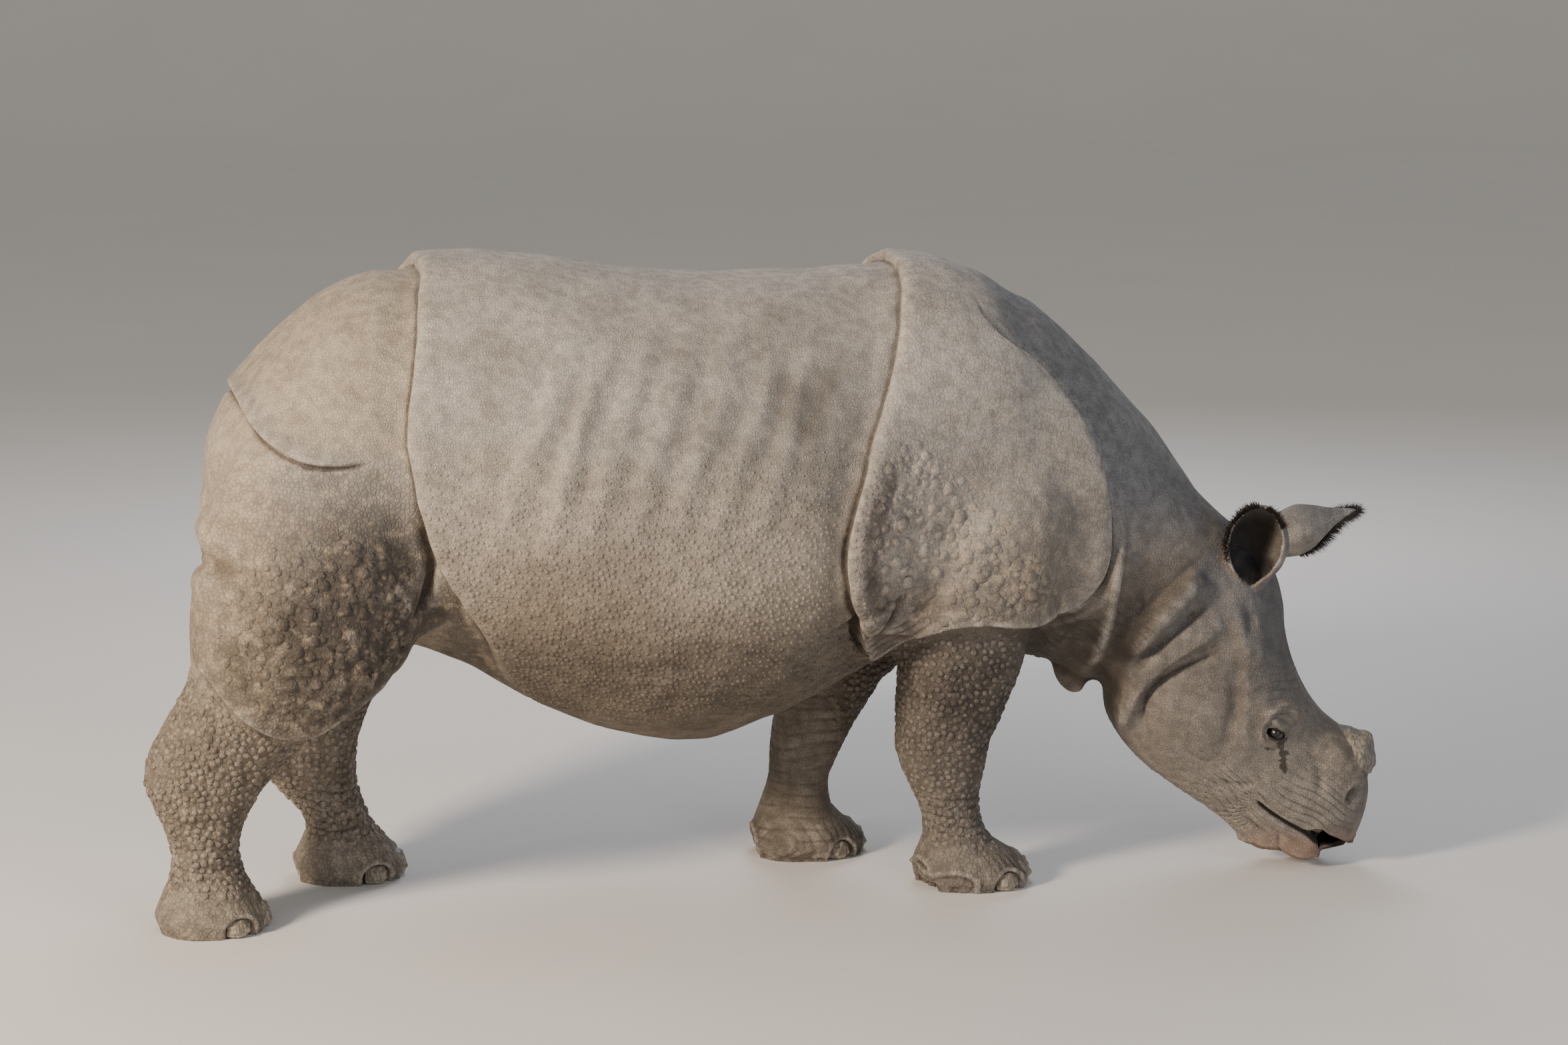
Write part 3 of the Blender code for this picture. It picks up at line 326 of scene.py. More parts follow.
def ring_mean(values, edges):
    """The mean of each vertex's neighbours."""
    count = len(values)
    degree = np.maximum(np.bincount(edges.ravel(), minlength=count), 1)
    columns = []
    for column in values.T:
        total = np.bincount(edges[:, 0], column[edges[:, 1]], count)
        total += np.bincount(edges[:, 1], column[edges[:, 0]], count)
        columns.append(total / degree)
    return np.stack(columns, 1)


def relax(places, edges, rounds, weight=1.0):
    """Even out a surface; a weight below 1 keeps more of its shape."""
    weight = np.broadcast_to(np.asarray(weight, float), (len(places),))[:, None]
    for _ in range(rounds):
        places = places + (ring_mean(places, edges) - places) * 0.5 * weight
    return places


def relax_full(places, edges, rounds, weight=1.0):
    """Even out small facets and give back the girth that this takes from limbs."""
    evened = relax(places, edges, rounds, weight)
    return evened + relax(places - evened, edges, rounds, weight)


def new_mesh(name, places, faces):
    """A piece with a mesh of its own, put into the scene."""
    mesh = bpy.data.meshes.new(name)
    mesh.from_pydata([tuple(p) for p in places], [], faces)
    mesh.update()
    piece = bpy.data.objects.new(name, mesh)
    bpy.context.scene.collection.objects.link(piece)
    return piece


def store(mesh, name, values):
    """Keep one number for each vertex under a name that a material reads."""
    mark = mesh.attributes.get(name) or mesh.attributes.new(name, "FLOAT", "POINT")
    mark.data.foreach_set("value", np.asarray(values, np.float32))


# ------------------------------------------------------------------ straight and turned
def straightened(places):
    """Points of the frame, as they lie on the straight body."""
    x, y = places[:, 0] + BODY_ORIGIN[0], places[:, 1] + BODY_ORIGIN[1]
    angle = np.arctan2(x - TURN_START, y + TURN_RADIUS)
    in_bend = (x > TURN_START) & (angle < TURN_ANGLE)
    beyond = (x > TURN_START) & (angle >= TURN_ANGLE)
    radius = np.hypot(x - TURN_START, y + TURN_RADIUS)
    end = (TURN_START + TURN_RADIUS * math.sin(TURN_ANGLE), -TURN_RADIUS * (1 - math.cos(TURN_ANGLE)))
    ahead = (x - end[0]) * math.cos(TURN_ANGLE) - (y - end[1]) * math.sin(TURN_ANGLE)
    aside = (x - end[0]) * math.sin(TURN_ANGLE) + (y - end[1]) * math.cos(TURN_ANGLE)
    made = np.stack([x, y, places[:, 2]], 1)
    made[in_bend, 0] = (TURN_START + angle * TURN_RADIUS)[in_bend]
    made[in_bend, 1] = (radius - TURN_RADIUS)[in_bend]
    made[beyond, 0] = (TURN_END + ahead)[beyond]
    made[beyond, 1] = aside[beyond]
    return made


def turn_at(x):
    """The angle by which the straight body is turned at x."""
    return TURN_ANGLE * np.clip((x - TURN_START) / (TURN_END - TURN_START), 0, 1)


def turned(places):
    """Points of the straight body, as they lie in the frame."""
    places = np.atleast_2d(np.asarray(places, float))
    x, y = places[:, 0], places[:, 1]
    angle = turn_at(x)
    straight = np.maximum(x - TURN_END, 0)
    made = places.copy()
    bent = x > TURN_START
    ahead = TURN_START + (TURN_RADIUS + y) * np.sin(angle) + straight * np.cos(angle)
    aside = -TURN_RADIUS * (1 - np.cos(angle)) - straight * np.sin(angle) + y * np.cos(angle)
    made[bent, 0], made[bent, 1] = ahead[bent], aside[bent]
    made[:, :2] -= BODY_ORIGIN
    return made


def unturned_ways(ways, x):
    """Directions in the frame, as they point on the straight body at x."""
    angle = turn_at(x)
    ahead = ways[:, 0] * np.cos(angle) - ways[:, 1] * np.sin(angle)
    aside = ways[:, 0] * np.sin(angle) + ways[:, 1] * np.cos(angle)
    return np.stack([ahead, aside, ways[:, 2]], 1)


def turned_way(way):
    """A direction on the straight head, as it points in the frame."""
    ahead, aside, up = way
    c, s = math.cos(TURN_ANGLE), math.sin(TURN_ANGLE)
    return Vector((ahead * c + aside * s, -ahead * s + aside * c, up))


# ------------------------------------------------------------------ charts of the folds
def curve_points(points, steps=8):
    """A smooth curve through the points."""
    ends = np.array([points[0], *points, points[-1]], float)
    made = []
    for a, b, c, d in zip(ends, ends[1:], ends[2:], ends[3:]):
        t = (np.arange(steps) / steps)[:, None]
        square, cube = 2 * a - 5 * b + 4 * c - d, 3 * b - a - 3 * c + d
        made.append(0.5 * (2 * b + (c - a) * t + square * t**2 + cube * t**3))
    return np.vstack([*made, ends[-1:]])


class Chart:
    """The distance to a curve in the side view, positive on its left, and the share of it passed."""

    LOW, HIGH = np.array([-1.25, -0.10]), np.array([2.20, 1.80])     # corners of the side view

    def __init__(self, points):
        size = np.ceil((self.HIGH - self.LOW) / CHART_STEP).astype(int) + 1
        axes = (self.LOW[i] + CHART_STEP * np.arange(size[i]) for i in (0, 1))
        across, up = np.meshgrid(*axes, indexing="ij")
        spots = np.stack([across.ravel(), up.ravel()], 1)
        curve = curve_points(points)
        nearest = np.full(len(spots), np.inf)
        side, along = np.ones(len(spots)), np.zeros(len(spots))
        for i, (start, run) in enumerate(zip(curve[:-1], np.diff(curve, axis=0))):
            offset = spots - start
            t = np.clip(offset @ run / (run @ run), 0, 1)
            away = offset - t[:, None] * run
            far = np.hypot(away[:, 0], away[:, 1])
            closer = far < nearest
            nearest[closer] = far[closer]
            side[closer] = np.sign(run[0] * offset[closer, 1] - run[1] * offset[closer, 0])
            along[closer] = (i + t[closer]) / (len(curve) - 1)
        self.tables = [(nearest * side).reshape(size), along.reshape(size)]

    def read(self, x, z):
        """The signed distance and the share passed at each point, read between the chart's cells."""
        u, v = (x - self.LOW[0]) / CHART_STEP, (z - self.LOW[1]) / CHART_STEP
        size = self.tables[0].shape
        i = np.clip(u.astype(int), 0, size[0] - 2)
        j = np.clip(v.astype(int), 0, size[1] - 2)
        s, t = np.clip(u - i, 0, 1), np.clip(v - j, 0, 1)
        made = []
        for table in self.tables:
            low = table[i, j] * (1 - s) + table[i + 1, j] * s
            high = table[i, j + 1] * (1 - s) + table[i + 1, j + 1] * s
            made.append(low * (1 - t) + high * t)
        return made


CHARTS = {}


def chart(points):
    """The chart of a curve, worked out once."""
    key = tuple(points)
    if key not in CHARTS:
        CHARTS[key] = Chart(points)
    return CHARTS[key]


# ------------------------------------------------------------------ grain of the hide
def chance(cell, seed):
    """Three numbers from 0 to 1 for each cell of a grid, the same on every run."""
    a = cell.astype(np.int64).astype(np.uint32)
    mixed = a[:, 0] * np.uint32(73856093) ^ a[:, 1] * np.uint32(19349663) ^ a[:, 2] * np.uint32(83492791)
    mixed = mixed ^ np.uint32((seed * 2654435761) % 2**32)
    numbers = []
    for factor in (0x9E3779B1, 0x85EBCA6B, 0xC2B2AE35):
        mixed = (mixed ^ (mixed >> np.uint32(15))) * np.uint32(factor)
        mixed = mixed ^ (mixed >> np.uint32(13))
        numbers.append(mixed.astype(np.float64) / 2**32)
    return np.stack(numbers, 1)


def clouds(places, size, seed):
    """Soft unevenness of the given size, from -1 to 1."""
    scaled = places / size
    cell = np.floor(scaled)
    t = soft(scaled - cell)
    total = np.zeros(len(places))
    for corner in itertools.product((0, 1), repeat=3):
        corner = np.array(corner)
        weight = np.prod(np.where(corner == 1, t, 1 - t), axis=1)
        total += weight * chance(cell + corner, seed)[:, 0]
    return total * 2 - 1


def domes(places, normals, where, size, seed, flatten=0.7):
    """Rounded bumps strewn one to a cell, where the weight is above 0; 1 at a full bump's top.
    Distances along the normal count less, so that the bumps cut by a surface stay alike in size."""
    chosen = where > 0.02
    scaled, ways = places[chosen] / size, normals[chosen]
    cell = np.floor(scaled)
    near, luck = np.full(len(scaled), 9.0), np.zeros(len(scaled))
    for corner in itertools.product((-1, 0, 1), repeat=3):
        numbers = chance(cell + corner, seed)
        away = np.array(corner) + 0.15 + 0.7 * numbers - (scaled - cell)
        lift = (away * ways).sum(1)
        far = np.sqrt(np.maximum((away**2).sum(1) - flatten * lift**2, 0))
        luck = np.where(far < near, numbers[:, 2], luck)
        near = np.minimum(near, far)
    radius = 0.45 * (0.55 + 0.45 * luck)
    height = np.zeros(len(places))
    height[chosen] = np.maximum(1 - (near / radius) ** 2, 0) ** 1.4 * (0.45 + 0.55 * luck) * where[chosen]
    return height


def band(value, start, end, edge):
    """1 between start and end, with soft sides."""
    return soft((value - start) / edge + 0.5) * soft((end - value) / edge + 0.5)


def bell(value, width, middle=0.0):
    """1 in the middle, falling away to both sides."""
    return np.exp(-(((value - middle) / width) ** 2))


def oval(x, z, middle, reach):
    """1 in the middle of an oval, falling away all round."""
    return np.exp(-(((x - middle[0]) / reach[0]) ** 2) - ((z - middle[1]) / reach[1]) ** 2)


def line_groove(x, z, points, half_width, fade):
    """1 in the middle of a groove along a curve, falling away to its sides and ends."""
    away, along = chart(points).read(x, z)
    return bell(away, half_width) * soft(along / fade) * soft((1 - along) / fade)


class Body:
    """Where points of the hide lie: on which plates, and how far from the plates' edges."""

    def __init__(self, places, normals):
        self.places = straightened(places)
        self.x, self.y, self.z = self.places.T
        self.normals = unturned_ways(normals, self.x)
        x, z = self.x, self.z
        left_leg = (self.y > 0) & (z < 0.85)
        hind_x = x - np.where(left_leg, LEFT_HIND_FORWARD, 0) * soft((0.95 - z) / 0.15)
        self.sideways = soft(np.abs(self.normals[:, 1]) * 1.8)
        # The distance to each edge, positive on its left, and the share of it passed.
        for name, points in EDGES.items():
            away, along = chart(points).read(hind_x if name == "thigh_hem" else x, z)
            setattr(self, name, away)
            setattr(self, name + "_along", along)
        # Regions, each from 0 to 1.
        self.plate = soft(np.minimum(np.minimum(self.rear, self.hem), self.front) / 0.012 + 0.5)
        self.head = soft(self.head_edge / 0.03 + 0.5) * soft((x - 1.2) / 0.1)
        before_hip, behind_plate = soft(self.hip / 0.012 + 0.5), soft(-self.rear / 0.012 + 0.5)
        self.barrel = before_hip * behind_plate * soft((0.75 - x) / 0.1)
        self.neck = (1 - self.head) * soft(-self.front / 0.02 + 0.5) * soft((x - 0.95) / 0.1)
        self.neck *= soft((z - 0.5) / 0.1)
        self.foreleg = soft((0.68 - z) / 0.03) * band(x, 0.445, 1.13, 0.04)
        self.foreleg *= (1 - self.head) * (1 - self.neck) * (1 - self.barrel)
        self.hindleg = soft((hind_x + 0.35) / -0.08) * soft((0.80 - z) / 0.06)
        self.hindleg *= soft(-self.thigh_hem / 0.02 + 0.5)
        self.leg = np.maximum(self.foreleg, self.hindleg)
        behind_hip = soft(-self.hip / 0.012 + 0.5)
        self.thigh = behind_hip * (1 - self.hindleg) * soft((1.17 - z) / 0.03 + 0.5)
        self.rump = behind_hip * soft((z - 1.17) / 0.03 + 0.5)

    def clouds(self, size, seed):
        """Soft unevenness of the given size on the straight body, from -1 to 1."""
        return clouds(self.places, size, seed)


def fold_height(body):
    """The plates' rims, the creases beside them, and the head's rolls and grooves."""
    x, z, sideways = body.x, body.z, body.sideways
    over = np.maximum(sideways, soft((1.0 - x) / 0.1) * soft((z - 0.9) / 0.2))
    deep = (0.55 + 0.45 * soft((1.25 - z) / 0.3)) * soft((z - 0.695) / 0.03)
    weights = {
        "rear": over * deep,
        "hip": over * (0.7 + 0.9 * soft((1.12 - z) / 0.15)),
        "hem": sideways * soft((x - 0.86) / 0.05),
        "skirt": sideways,
        "flap": over,
        "thigh_hem": sideways,
        "front": sideways * soft((1.52 - z) / 0.10),
    }
    uneven = 0.75 + 0.5 * body.clouds(0.05, 15)
    height = np.zeros(len(x))
    for name, (width, rise, crease, crease_width, step, fades) in RIMS.items():
        away, along = getattr(body, name), getattr(body, name + "_along")
        ends = soft(along / fades[0]) * soft((1 - along) / fades[1]) * weights[name]
        raised = soft(away / 0.007) * bell(np.maximum(away, 0), width) * rise * uneven
        hollow = -crease * bell(away, crease_width, -0.8 * crease_width)
        inner, outer = np.exp(-np.maximum(away, 0) / 0.055), np.exp(-np.maximum(-away, 0) / 0.045)
        shelf = np.where(away > 0, inner, -outer) * soft(np.abs(away) / 0.004)
        height += (raised + hollow + step * shelf) * ends
    neck_side = bell(body.front, 0.016, -0.034) * soft((1.10 - z) / 0.3) * soft(body.front_along / 0.1)
    height += 0.009 * neck_side * sideways
    for points, rise, half_width in ROLLS:
        height += rise * line_groove(x, z, points, half_width, 0.2) * sideways
    for points, depth, half_width, fade in GROOVES:
        height -= depth * line_groove(x, z, points, half_width, fade) * sideways
    facing = np.maximum(sideways, soft(-body.normals[:, 0] * 1.8))
    for middle_x, middle_z, reach_x, reach_z, rise in SWELLS:
        swell = oval(x, z, (middle_x, middle_z), (reach_x, reach_z))
        height += rise * swell * np.maximum(facing, float(middle_x > SWELL_ROUND))
    return height


def rib_height(body):
    """Shallow ribs under the hide of the barrel, each of them a little different."""
    sway = 0.18 * body.clouds(0.16, 16) + 0.06 * body.clouds(0.06, 17)
    step = (body.x - RIB_FIRST - (body.z - RIB_HEIGHT) * RIB_LEAN) / RIB_SPACING + sway
    where = band(step, -0.5, RIB_COUNT - 0.5, 0.8) * band(body.z, 0.98, 1.41, 0.22)
    strength = 0.75 + 0.35 * body.clouds(0.14, 18)
    return 0.0066 * np.cos(2 * math.pi * step) * where * strength * body.barrel * body.sideways


def wrinkle_height(body):
    """Fine creases: on the skirt, the belly, the neck, the head and round the feet."""
    x, z, head = body.x, body.z, body.head
    warp, ruffle = body.clouds(0.09, 11), body.clouds(0.035, 12)

    def creases(depth, across, spacing, where, sharp=12.0):
        """Sharp creases of a depth, at a spacing along a measure that runs across them."""
        return -depth * np.abs(np.cos(math.pi * across / spacing)) ** sharp * where

    on_skirt = band(body.skirt, 0.006, 0.070, 0.015) * band(x, 0.60, 0.90, 0.05) * band(z, 0.59, 0.73, 0.03)
    height = creases(0.0036, (z - 0.48 * x) / 1.11 + 0.008 * warp, 0.017, on_skirt * body.sideways)
    belly = body.barrel * soft((0.82 - z) / 0.25)
    height += creases(0.0022, z + 0.022 * warp, 0.030, belly * soft(ruffle + 0.6))
    neck = body.neck * body.sideways * soft(warp + 0.6)
    height += creases(0.0022, body.front + 0.05 * warp + 0.015 * ruffle, 0.062, neck, 4.8)
    muzzle = head * oval(x, z, (1.87, 0.17), (0.12, 0.13)) * soft(np.abs(body.mouth) / 0.015)
    height += creases(0.0042, body.mouth + 0.012 * warp + 0.005 * ruffle, 0.020, muzzle)
    # A fan of creases spreads backwards from the corner of the mouth.
    angle, reach = np.arctan2(z - 0.18, 1.78 - x), np.hypot(x - 1.78, z - 0.18)
    fan = head * band(reach, 0.05, 0.25, 0.06) * soft((1.05 - np.abs(angle)) / 0.4) * soft(ruffle + 0.75)
    height += creases(0.0036, angle * 0.16 + 0.012 * warp + 0.005 * ruffle, 0.020, fan)
    jaw = head * soft((0.30 - z) / 0.08) * soft((1.80 - x) / 0.06) * soft((x - 1.45) / 0.06)
    height += creases(0.0036, x * 0.75 + z * 0.65 + 0.015 * warp, 0.026, jaw)
    from_eye = np.hypot(x - EYE_SPOT[0], z - EYE_SPOT[1])
    brow = head * oval(x, z, (1.80, 0.47), (0.09, 0.08)) * soft((from_eye - 0.035) / 0.02)
    height += creases(0.0022, from_eye + 0.010 * warp, 0.018, brow)
    forehead = head * soft((z - 0.42) / 0.1) * soft(ruffle + 0.3)
    height += creases(0.0018, x + 0.03 * warp, 0.035, forehead)
    height += creases(0.0032, z + 0.012 * warp, 0.024, body.leg * band(z, 0.12, 0.26, 0.06))
    foot = soft((0.16 - z) / 0.05) * soft((1.0 - head) * 2 - 1) * soft((0.11 - z) / 0.04)
    height += creases(0.0022, body.y + 0.7 * x + 0.012 * warp, 0.023, foot)
    height += creases(0.0014, z + 0.7 * x + 0.03 * warp, 0.040, body.neck * soft((0.85 - z) / 0.2))
    return height


def knob_regions(body):
    """Where the shoulder plate, the thigh and the legs are studded, each from 0 to 1."""
    x, z = body.x, body.z
    patchy = 0.80 + 0.35 * body.clouds(0.10, 21)
    inside = soft((np.minimum(body.rear, body.front) - 0.040) / 0.02) * soft((body.hem - 0.010) / 0.02)
    inside *= soft((np.abs(x - 0.70) + np.maximum(z - 0.76, 0) * 2 - 0.03) / 0.02)
    low_rear = soft((1.26 - z) / 0.20) * (1 - soft((x - 0.84 - 0.9 * (0.95 - z)) / 0.20))
    shoulder = body.plate * inside * np.clip(1.5 * low_rear, 0, 1) * patchy
    away = soft((np.abs(body.hip) - 0.040) / 0.02) * soft((body.thigh_hem - 0.016) / 0.02)
    away *= soft((np.hypot(x + 0.98, (z - 0.92) * 1.2) - 0.07) / 0.04) * soft((-0.47 - x) / 0.03)
    front = oval(x, z, (-0.66, 0.76), (0.26, 0.25))
    thigh = body.thigh * away * soft(front * 1.7 - 0.10) * soft((1.12 - z) / 0.25) * patchy
    above_foot = soft((z - 0.09) / 0.04)
    below_plate = soft((-body.hem - 0.015) / 0.02) * soft((-body.skirt - 0.012) / 0.02)
    fore = body.foreleg * above_foot * below_plate
    hind = body.hindleg * above_foot * soft((-body.thigh_hem - 0.015) / 0.02)
    return {"shoulder": shoulder, "thigh": thigh, "leg": np.maximum(fore, hind)}


def stains_and_shade(body):
    """Darker hide, partly rubbed and stained and partly painted shade: low on the thigh, under the shoulder's
    studs, on the foreleg and the throat.
    """
    x, z, forward, upward = body.x, body.z, body.normals[:, 0], body.normals[:, 2]
    # Painted shade with some stained patches: low on the thigh and at the foot of the shoulder plate
    thigh = 1.9 * oval(x, z, (-0.60, 0.72), (0.26, 0.28)) * body.thigh
    shoulder = 0.75 * band(body.rear, 0.035, 0.085, 0.02) * soft((1.25 - z) / 0.2)
    shoulder += 0.5 * oval(x, z, (1.16, 0.84), (0.11, 0.16))
    behind = 0.75 * oval(x, z, (0.48, 1.28), (0.15, 0.15)) * body.barrel
    leg = body.foreleg * (0.35 + 0.9 * oval(x, z, (0.90, 0.54), (0.09, 0.13)))
    # Painted shade on the legs' forward faces
    leg += 0.45 * body.leg * soft(forward * 1.5)
    # Painted shade on the throat
    throat = body.neck * soft((0.88 - z) / 0.25)
    # Painted shade on the brow
    brow = 0.45 * body.head * soft((z - 0.40) / 0.2) * soft(forward + upward - 0.2)
    dark = thigh + shoulder * body.plate + behind + leg + throat + brow
    return dark * (0.85 + 0.5 * body.clouds(0.06, 25) + 0.25 * body.clouds(0.02, 26))


def knob_height(body):
    """Low swells under the studs, so that each stands on a rise of its own."""
    regions = knob_regions(body)
    both = np.maximum(regions["shoulder"], regions["thigh"])
    height = (0.0075 * body.clouds(0.045, 31) + 0.0026 * body.clouds(0.017, 33)) * both
    height += 0.0022 * body.clouds(0.030, 32) * regions["leg"]
    cheek = body.head * soft((0.75 - body.z) / 0.2) * soft((1.70 - body.x) / 0.1)
    return height + 0.0016 * domes(body.places, body.normals, cheek, 0.018, 37)


def muscle_height(body):
    """Broad unevenness of the flesh under the hide."""
    calm = 1 - 0.5 * body.head
    return (0.0055 * body.clouds(0.21, 41) + 0.0022 * body.clouds(0.07, 42)) * calm


def draw_back_lip(places):
    """Set the lower lip back, so that the upper one hangs over it."""
    x, _, z = straightened(places).T
    middle = (np.interp(x, *zip(*LIP_TOP)) + np.interp(x, *zip(*LIP_FOOT))) / 2
    shift = -0.85 * np.maximum(x - 1.900, 0) * soft((middle - z) / 0.024)
    return places + shift[:, None] * np.array(turned_way((1, 0, 0)))


def mouth_height(body):
    """The slit of the mouth, its swollen lips, and the nostril."""
    x, z, line = body.x, body.z, body.mouth
    slit = bell(line, 0.0050) * soft(body.mouth_along / 0.12)
    gape = 0.004 + 0.010 * soft((x - 1.86) / 0.08)
    wide = bell(line, gape, -0.4 * gape) * soft((x - 1.86) / 0.05)
    top, foot = np.interp(x, *zip(*LIP_TOP)), np.interp(x, *zip(*LIP_FOOT))
    opening = soft((top - z) / 0.008) * soft((z - foot) / 0.008) * band(x, 1.865, 1.995, 0.02)
    lips = bell(np.abs(line), 0.009, 0.016) * soft(body.mouth_along / 0.15)
    # The nostril is a slanted comma on the side of the muzzle, with a raised wing above it.
    ahead, above = x - NOSTRIL[0], z - NOSTRIL[1]
    u, v = ahead * 0.55 + above * 0.84, -ahead * 0.84 + above * 0.55
    comma = np.exp(-((u / 0.022) ** 4)) * bell(v + 9 * u * u, 0.0075)
    wing = np.exp(-((u / 0.030) ** 4)) * bell(v + 9 * u * u, 0.008, 0.016)
    height = -0.013 * slit - 0.010 * wide - 0.026 * opening + 0.0045 * lips
    return (height + (-0.014 * comma + 0.005 * wing) * body.sideways) * body.head


# ------------------------------------------------------------------ the hide
def ear_axes(name):
    """The way an ear points, the way it opens, and the way across."""
    _, along, opening, *_ = EARS[name]
    along, opening = Vector(along).normalized(), Vector(opening)
    opening = (opening - along * opening.dot(along)).normalized()
    return along, opening, along.cross(opening)


def ear_radius(share, girth, point):
    """The radius of an ear at a share of its length."""
    radius = np.interp(share, EAR_STATIONS[:, 0], EAR_STATIONS[:, 1])
    return radius * girth * (1 - point * soft((share - 0.30) / 0.6))


def ear_half_angle(share):
    """Half the angle that an ear's wall spans at a share of its length."""
    return math.radians(np.interp(share, EAR_STATIONS[:, 0], EAR_STATIONS[:, 2]))


def ear_spot(name, share, radius, inner, angle):
    """A point of an ear's wall, as it lies in the frame."""
    root, length = EARS[name][0], EARS[name][3]
    along, opening, across = ear_axes(name)
    centre = Vector(root) + along * (length * share) - opening * (radius * 0.4 * share)
    spot = centre + across * (math.sin(angle) * inner) - opening * (math.cos(angle) * inner)
    return turned([tuple(spot)])[0]


def ear_shell(name):
    """A cupped ear with a wall of even thickness, closed, ready to be fused with the head."""
    girth, point = EARS[name][4:]
    wall = max(EAR_WALL, render_level(0.0))
    shares = np.concatenate([np.linspace(-0.10, 0.90, 27), np.linspace(0.92, 0.985, 5)])
    sides = EAR_SIDES
    places, surfaces = [], []
    for thick in (0.0, wall):
        rings = []
        for t in shares:
            radius, half = ear_radius(t, girth, point), ear_half_angle(t)
            inner = max(radius - thick * (1 - 0.35 * t), 0.003)
            rings.append(range(len(places), len(places) + sides + 1))
            places += [ear_spot(name, t, radius, inner, half * (2 * k / sides - 1)) for k in range(sides + 1)]
        surfaces.append(rings)
    outside, inside = surfaces
    faces = []
    for i in range(len(shares) - 1):
        for k in range(sides):
            faces.append((outside[i][k], outside[i][k + 1], outside[i + 1][k + 1], outside[i + 1][k]))
            faces.append((inside[i][k], inside[i + 1][k], inside[i + 1][k + 1], inside[i][k + 1]))
        faces.append((outside[i][0], outside[i + 1][0], inside[i + 1][0], inside[i][0]))
        faces.append((outside[i][sides], inside[i][sides], inside[i + 1][sides], outside[i + 1][sides]))
    for k in range(sides):
        faces.append((outside[0][k], inside[0][k], inside[0][k + 1], outside[0][k + 1]))
        faces.append((outside[-1][k], outside[-1][k + 1], inside[-1][k + 1], inside[-1][k]))
    piece = new_mesh(name + "_shell", places, faces)
    edit_all(piece, bpy.ops.mesh.normals_make_consistent, inside=False)
    return piece


def keep_largest(piece):
    """Drop loose scraps and inner bubbles."""
    select([piece])
    bpy.ops.mesh.separate(type="LOOSE")
    parts = list(bpy.context.selected_objects)
    largest = max(parts, key=lambda part: len(part.data.vertices))
    for part in parts:
        if part is not largest:
            bpy.data.objects.remove(part)
    return largest


def ball(name, centre, radius, segments=24):
    """A round piece, its centre at a place of the frame and its origin at the frame's."""
    deselect_all()
    rings = segments // 2
    bpy.ops.mesh.primitive_uv_sphere_add(segments=segments, ring_count=rings, radius=radius, location=centre)
    piece = bpy.context.object
    bpy.ops.object.transform_apply(location=True, rotation=True, scale=True)
    piece.name = name
    return piece


def node_middle(name):
    """The middle of a solid's box."""
    low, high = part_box(name)
    return (Vector(low) + Vector(high)) / 2


def reach_of(places, name):
    """How far points lie from the middle of a solid."""
    return np.linalg.norm(places - np.array(node_middle(name)), axis=1)


def fuse(pieces, cell):
    """Join pieces into one closed surface with facets of about a cell."""
    select(pieces)
    bpy.ops.object.join()
    skin = bpy.context.object
    remesh(skin, cell)
    return keep_largest(skin)


def fused_flesh(cell):
    """All flesh in one smooth closed surface, with the ears grown out of it."""
    copies = [node_copy(name) for name in FLESH]
    sockets = [ball("socket", node_middle(f"eye_{side}"), SOCKET_RADIUS) for side in SIDES]
    skin = fuse(copies + sockets, cell * 2)
    places, edges = read_places(skin.data), read_edges(skin.data)
    x, y, z = straightened(places).T
    head = soft((x - 1.35) / 0.15) * soft((1.05 - z) / 0.1)
    tail = soft((-0.80 - x) / 0.02) * soft((0.05 - np.abs(y)) / 0.01)
    weight = (1 - 0.60 * head - 0.35 * soft((0.5 - z) / 0.1) * (1 - head)) * (1 - 0.8 * tail)
    rounds = round(0.9 * (0.030 / (cell * 2)) ** 2) * 4
    write_places(skin.data, relax_full(places, edges, rounds, weight))
    skin = fuse([skin, *(ear_shell(name) for name in EARS), dewlap(), horn_collar()], cell)
    places, edges = read_places(skin.data), read_edges(skin.data)
    straight = straightened(places)
    near_horn = soft((0.125 - reach_of(places, "horn")) / 0.035)
    places = relax(places, edges, render_level(36), near_horn)
    write_places(skin.data, relax(places, edges, 6, 1 - 0.6 * ear_weight(straight)))
    return skin


def dewlap():
    """The rounded flap that hangs from the throat before the forelegs."""
    piece = ball("dewlap", (0, 0, 0), 1.0, 32)
    write_places(piece.data, turned(read_places(piece.data) * DEWLAP_RADII + DEWLAP))
    return piece


def horn_collar():
    """Hide that climbs round the foot of the horn."""
    piece = node_copy("horn")
    middle = np.array(node_middle("horn"))
    places = middle + (read_places(piece.data) - middle) * (1.05, 1.02, 1.03)
    write_places(piece.data, places + np.array(turned_way((-0.014, 0, -0.006))))
    return piece


def ear_weight(straight):
    """1 on the ears, 0 on the head below them."""
    weight = np.zeros(len(straight))
    for root, along, _, length, _, _ in EARS.values():
        along = np.array(along) / np.linalg.norm(along)
        offset = straight - root
        up = offset @ along
        reach = np.linalg.norm(offset - up[:, None] * along, axis=1)
        share = soft((up - 0.035) / 0.03) * soft((0.12 - reach) / 0.02) * (up < length + 0.06)
        weight = np.maximum(weight, share)
    return weight


def refine(piece, chosen):
    """Split the faces round the chosen vertices into four."""
    shape = bmesh.new()
    shape.from_mesh(piece.data)
    shape.verts.ensure_lookup_table()
    edges = [e for e in shape.edges if chosen[e.verts[0].index] and chosen[e.verts[1].index]]
    bmesh.ops.subdivide_edges(shape, edges=edges, cuts=1, use_grid_fill=True)
    bmesh.ops.triangulate(shape, faces=[f for f in shape.faces if len(f.verts) > 4])
    shape.to_mesh(piece.data)
    shape.free()


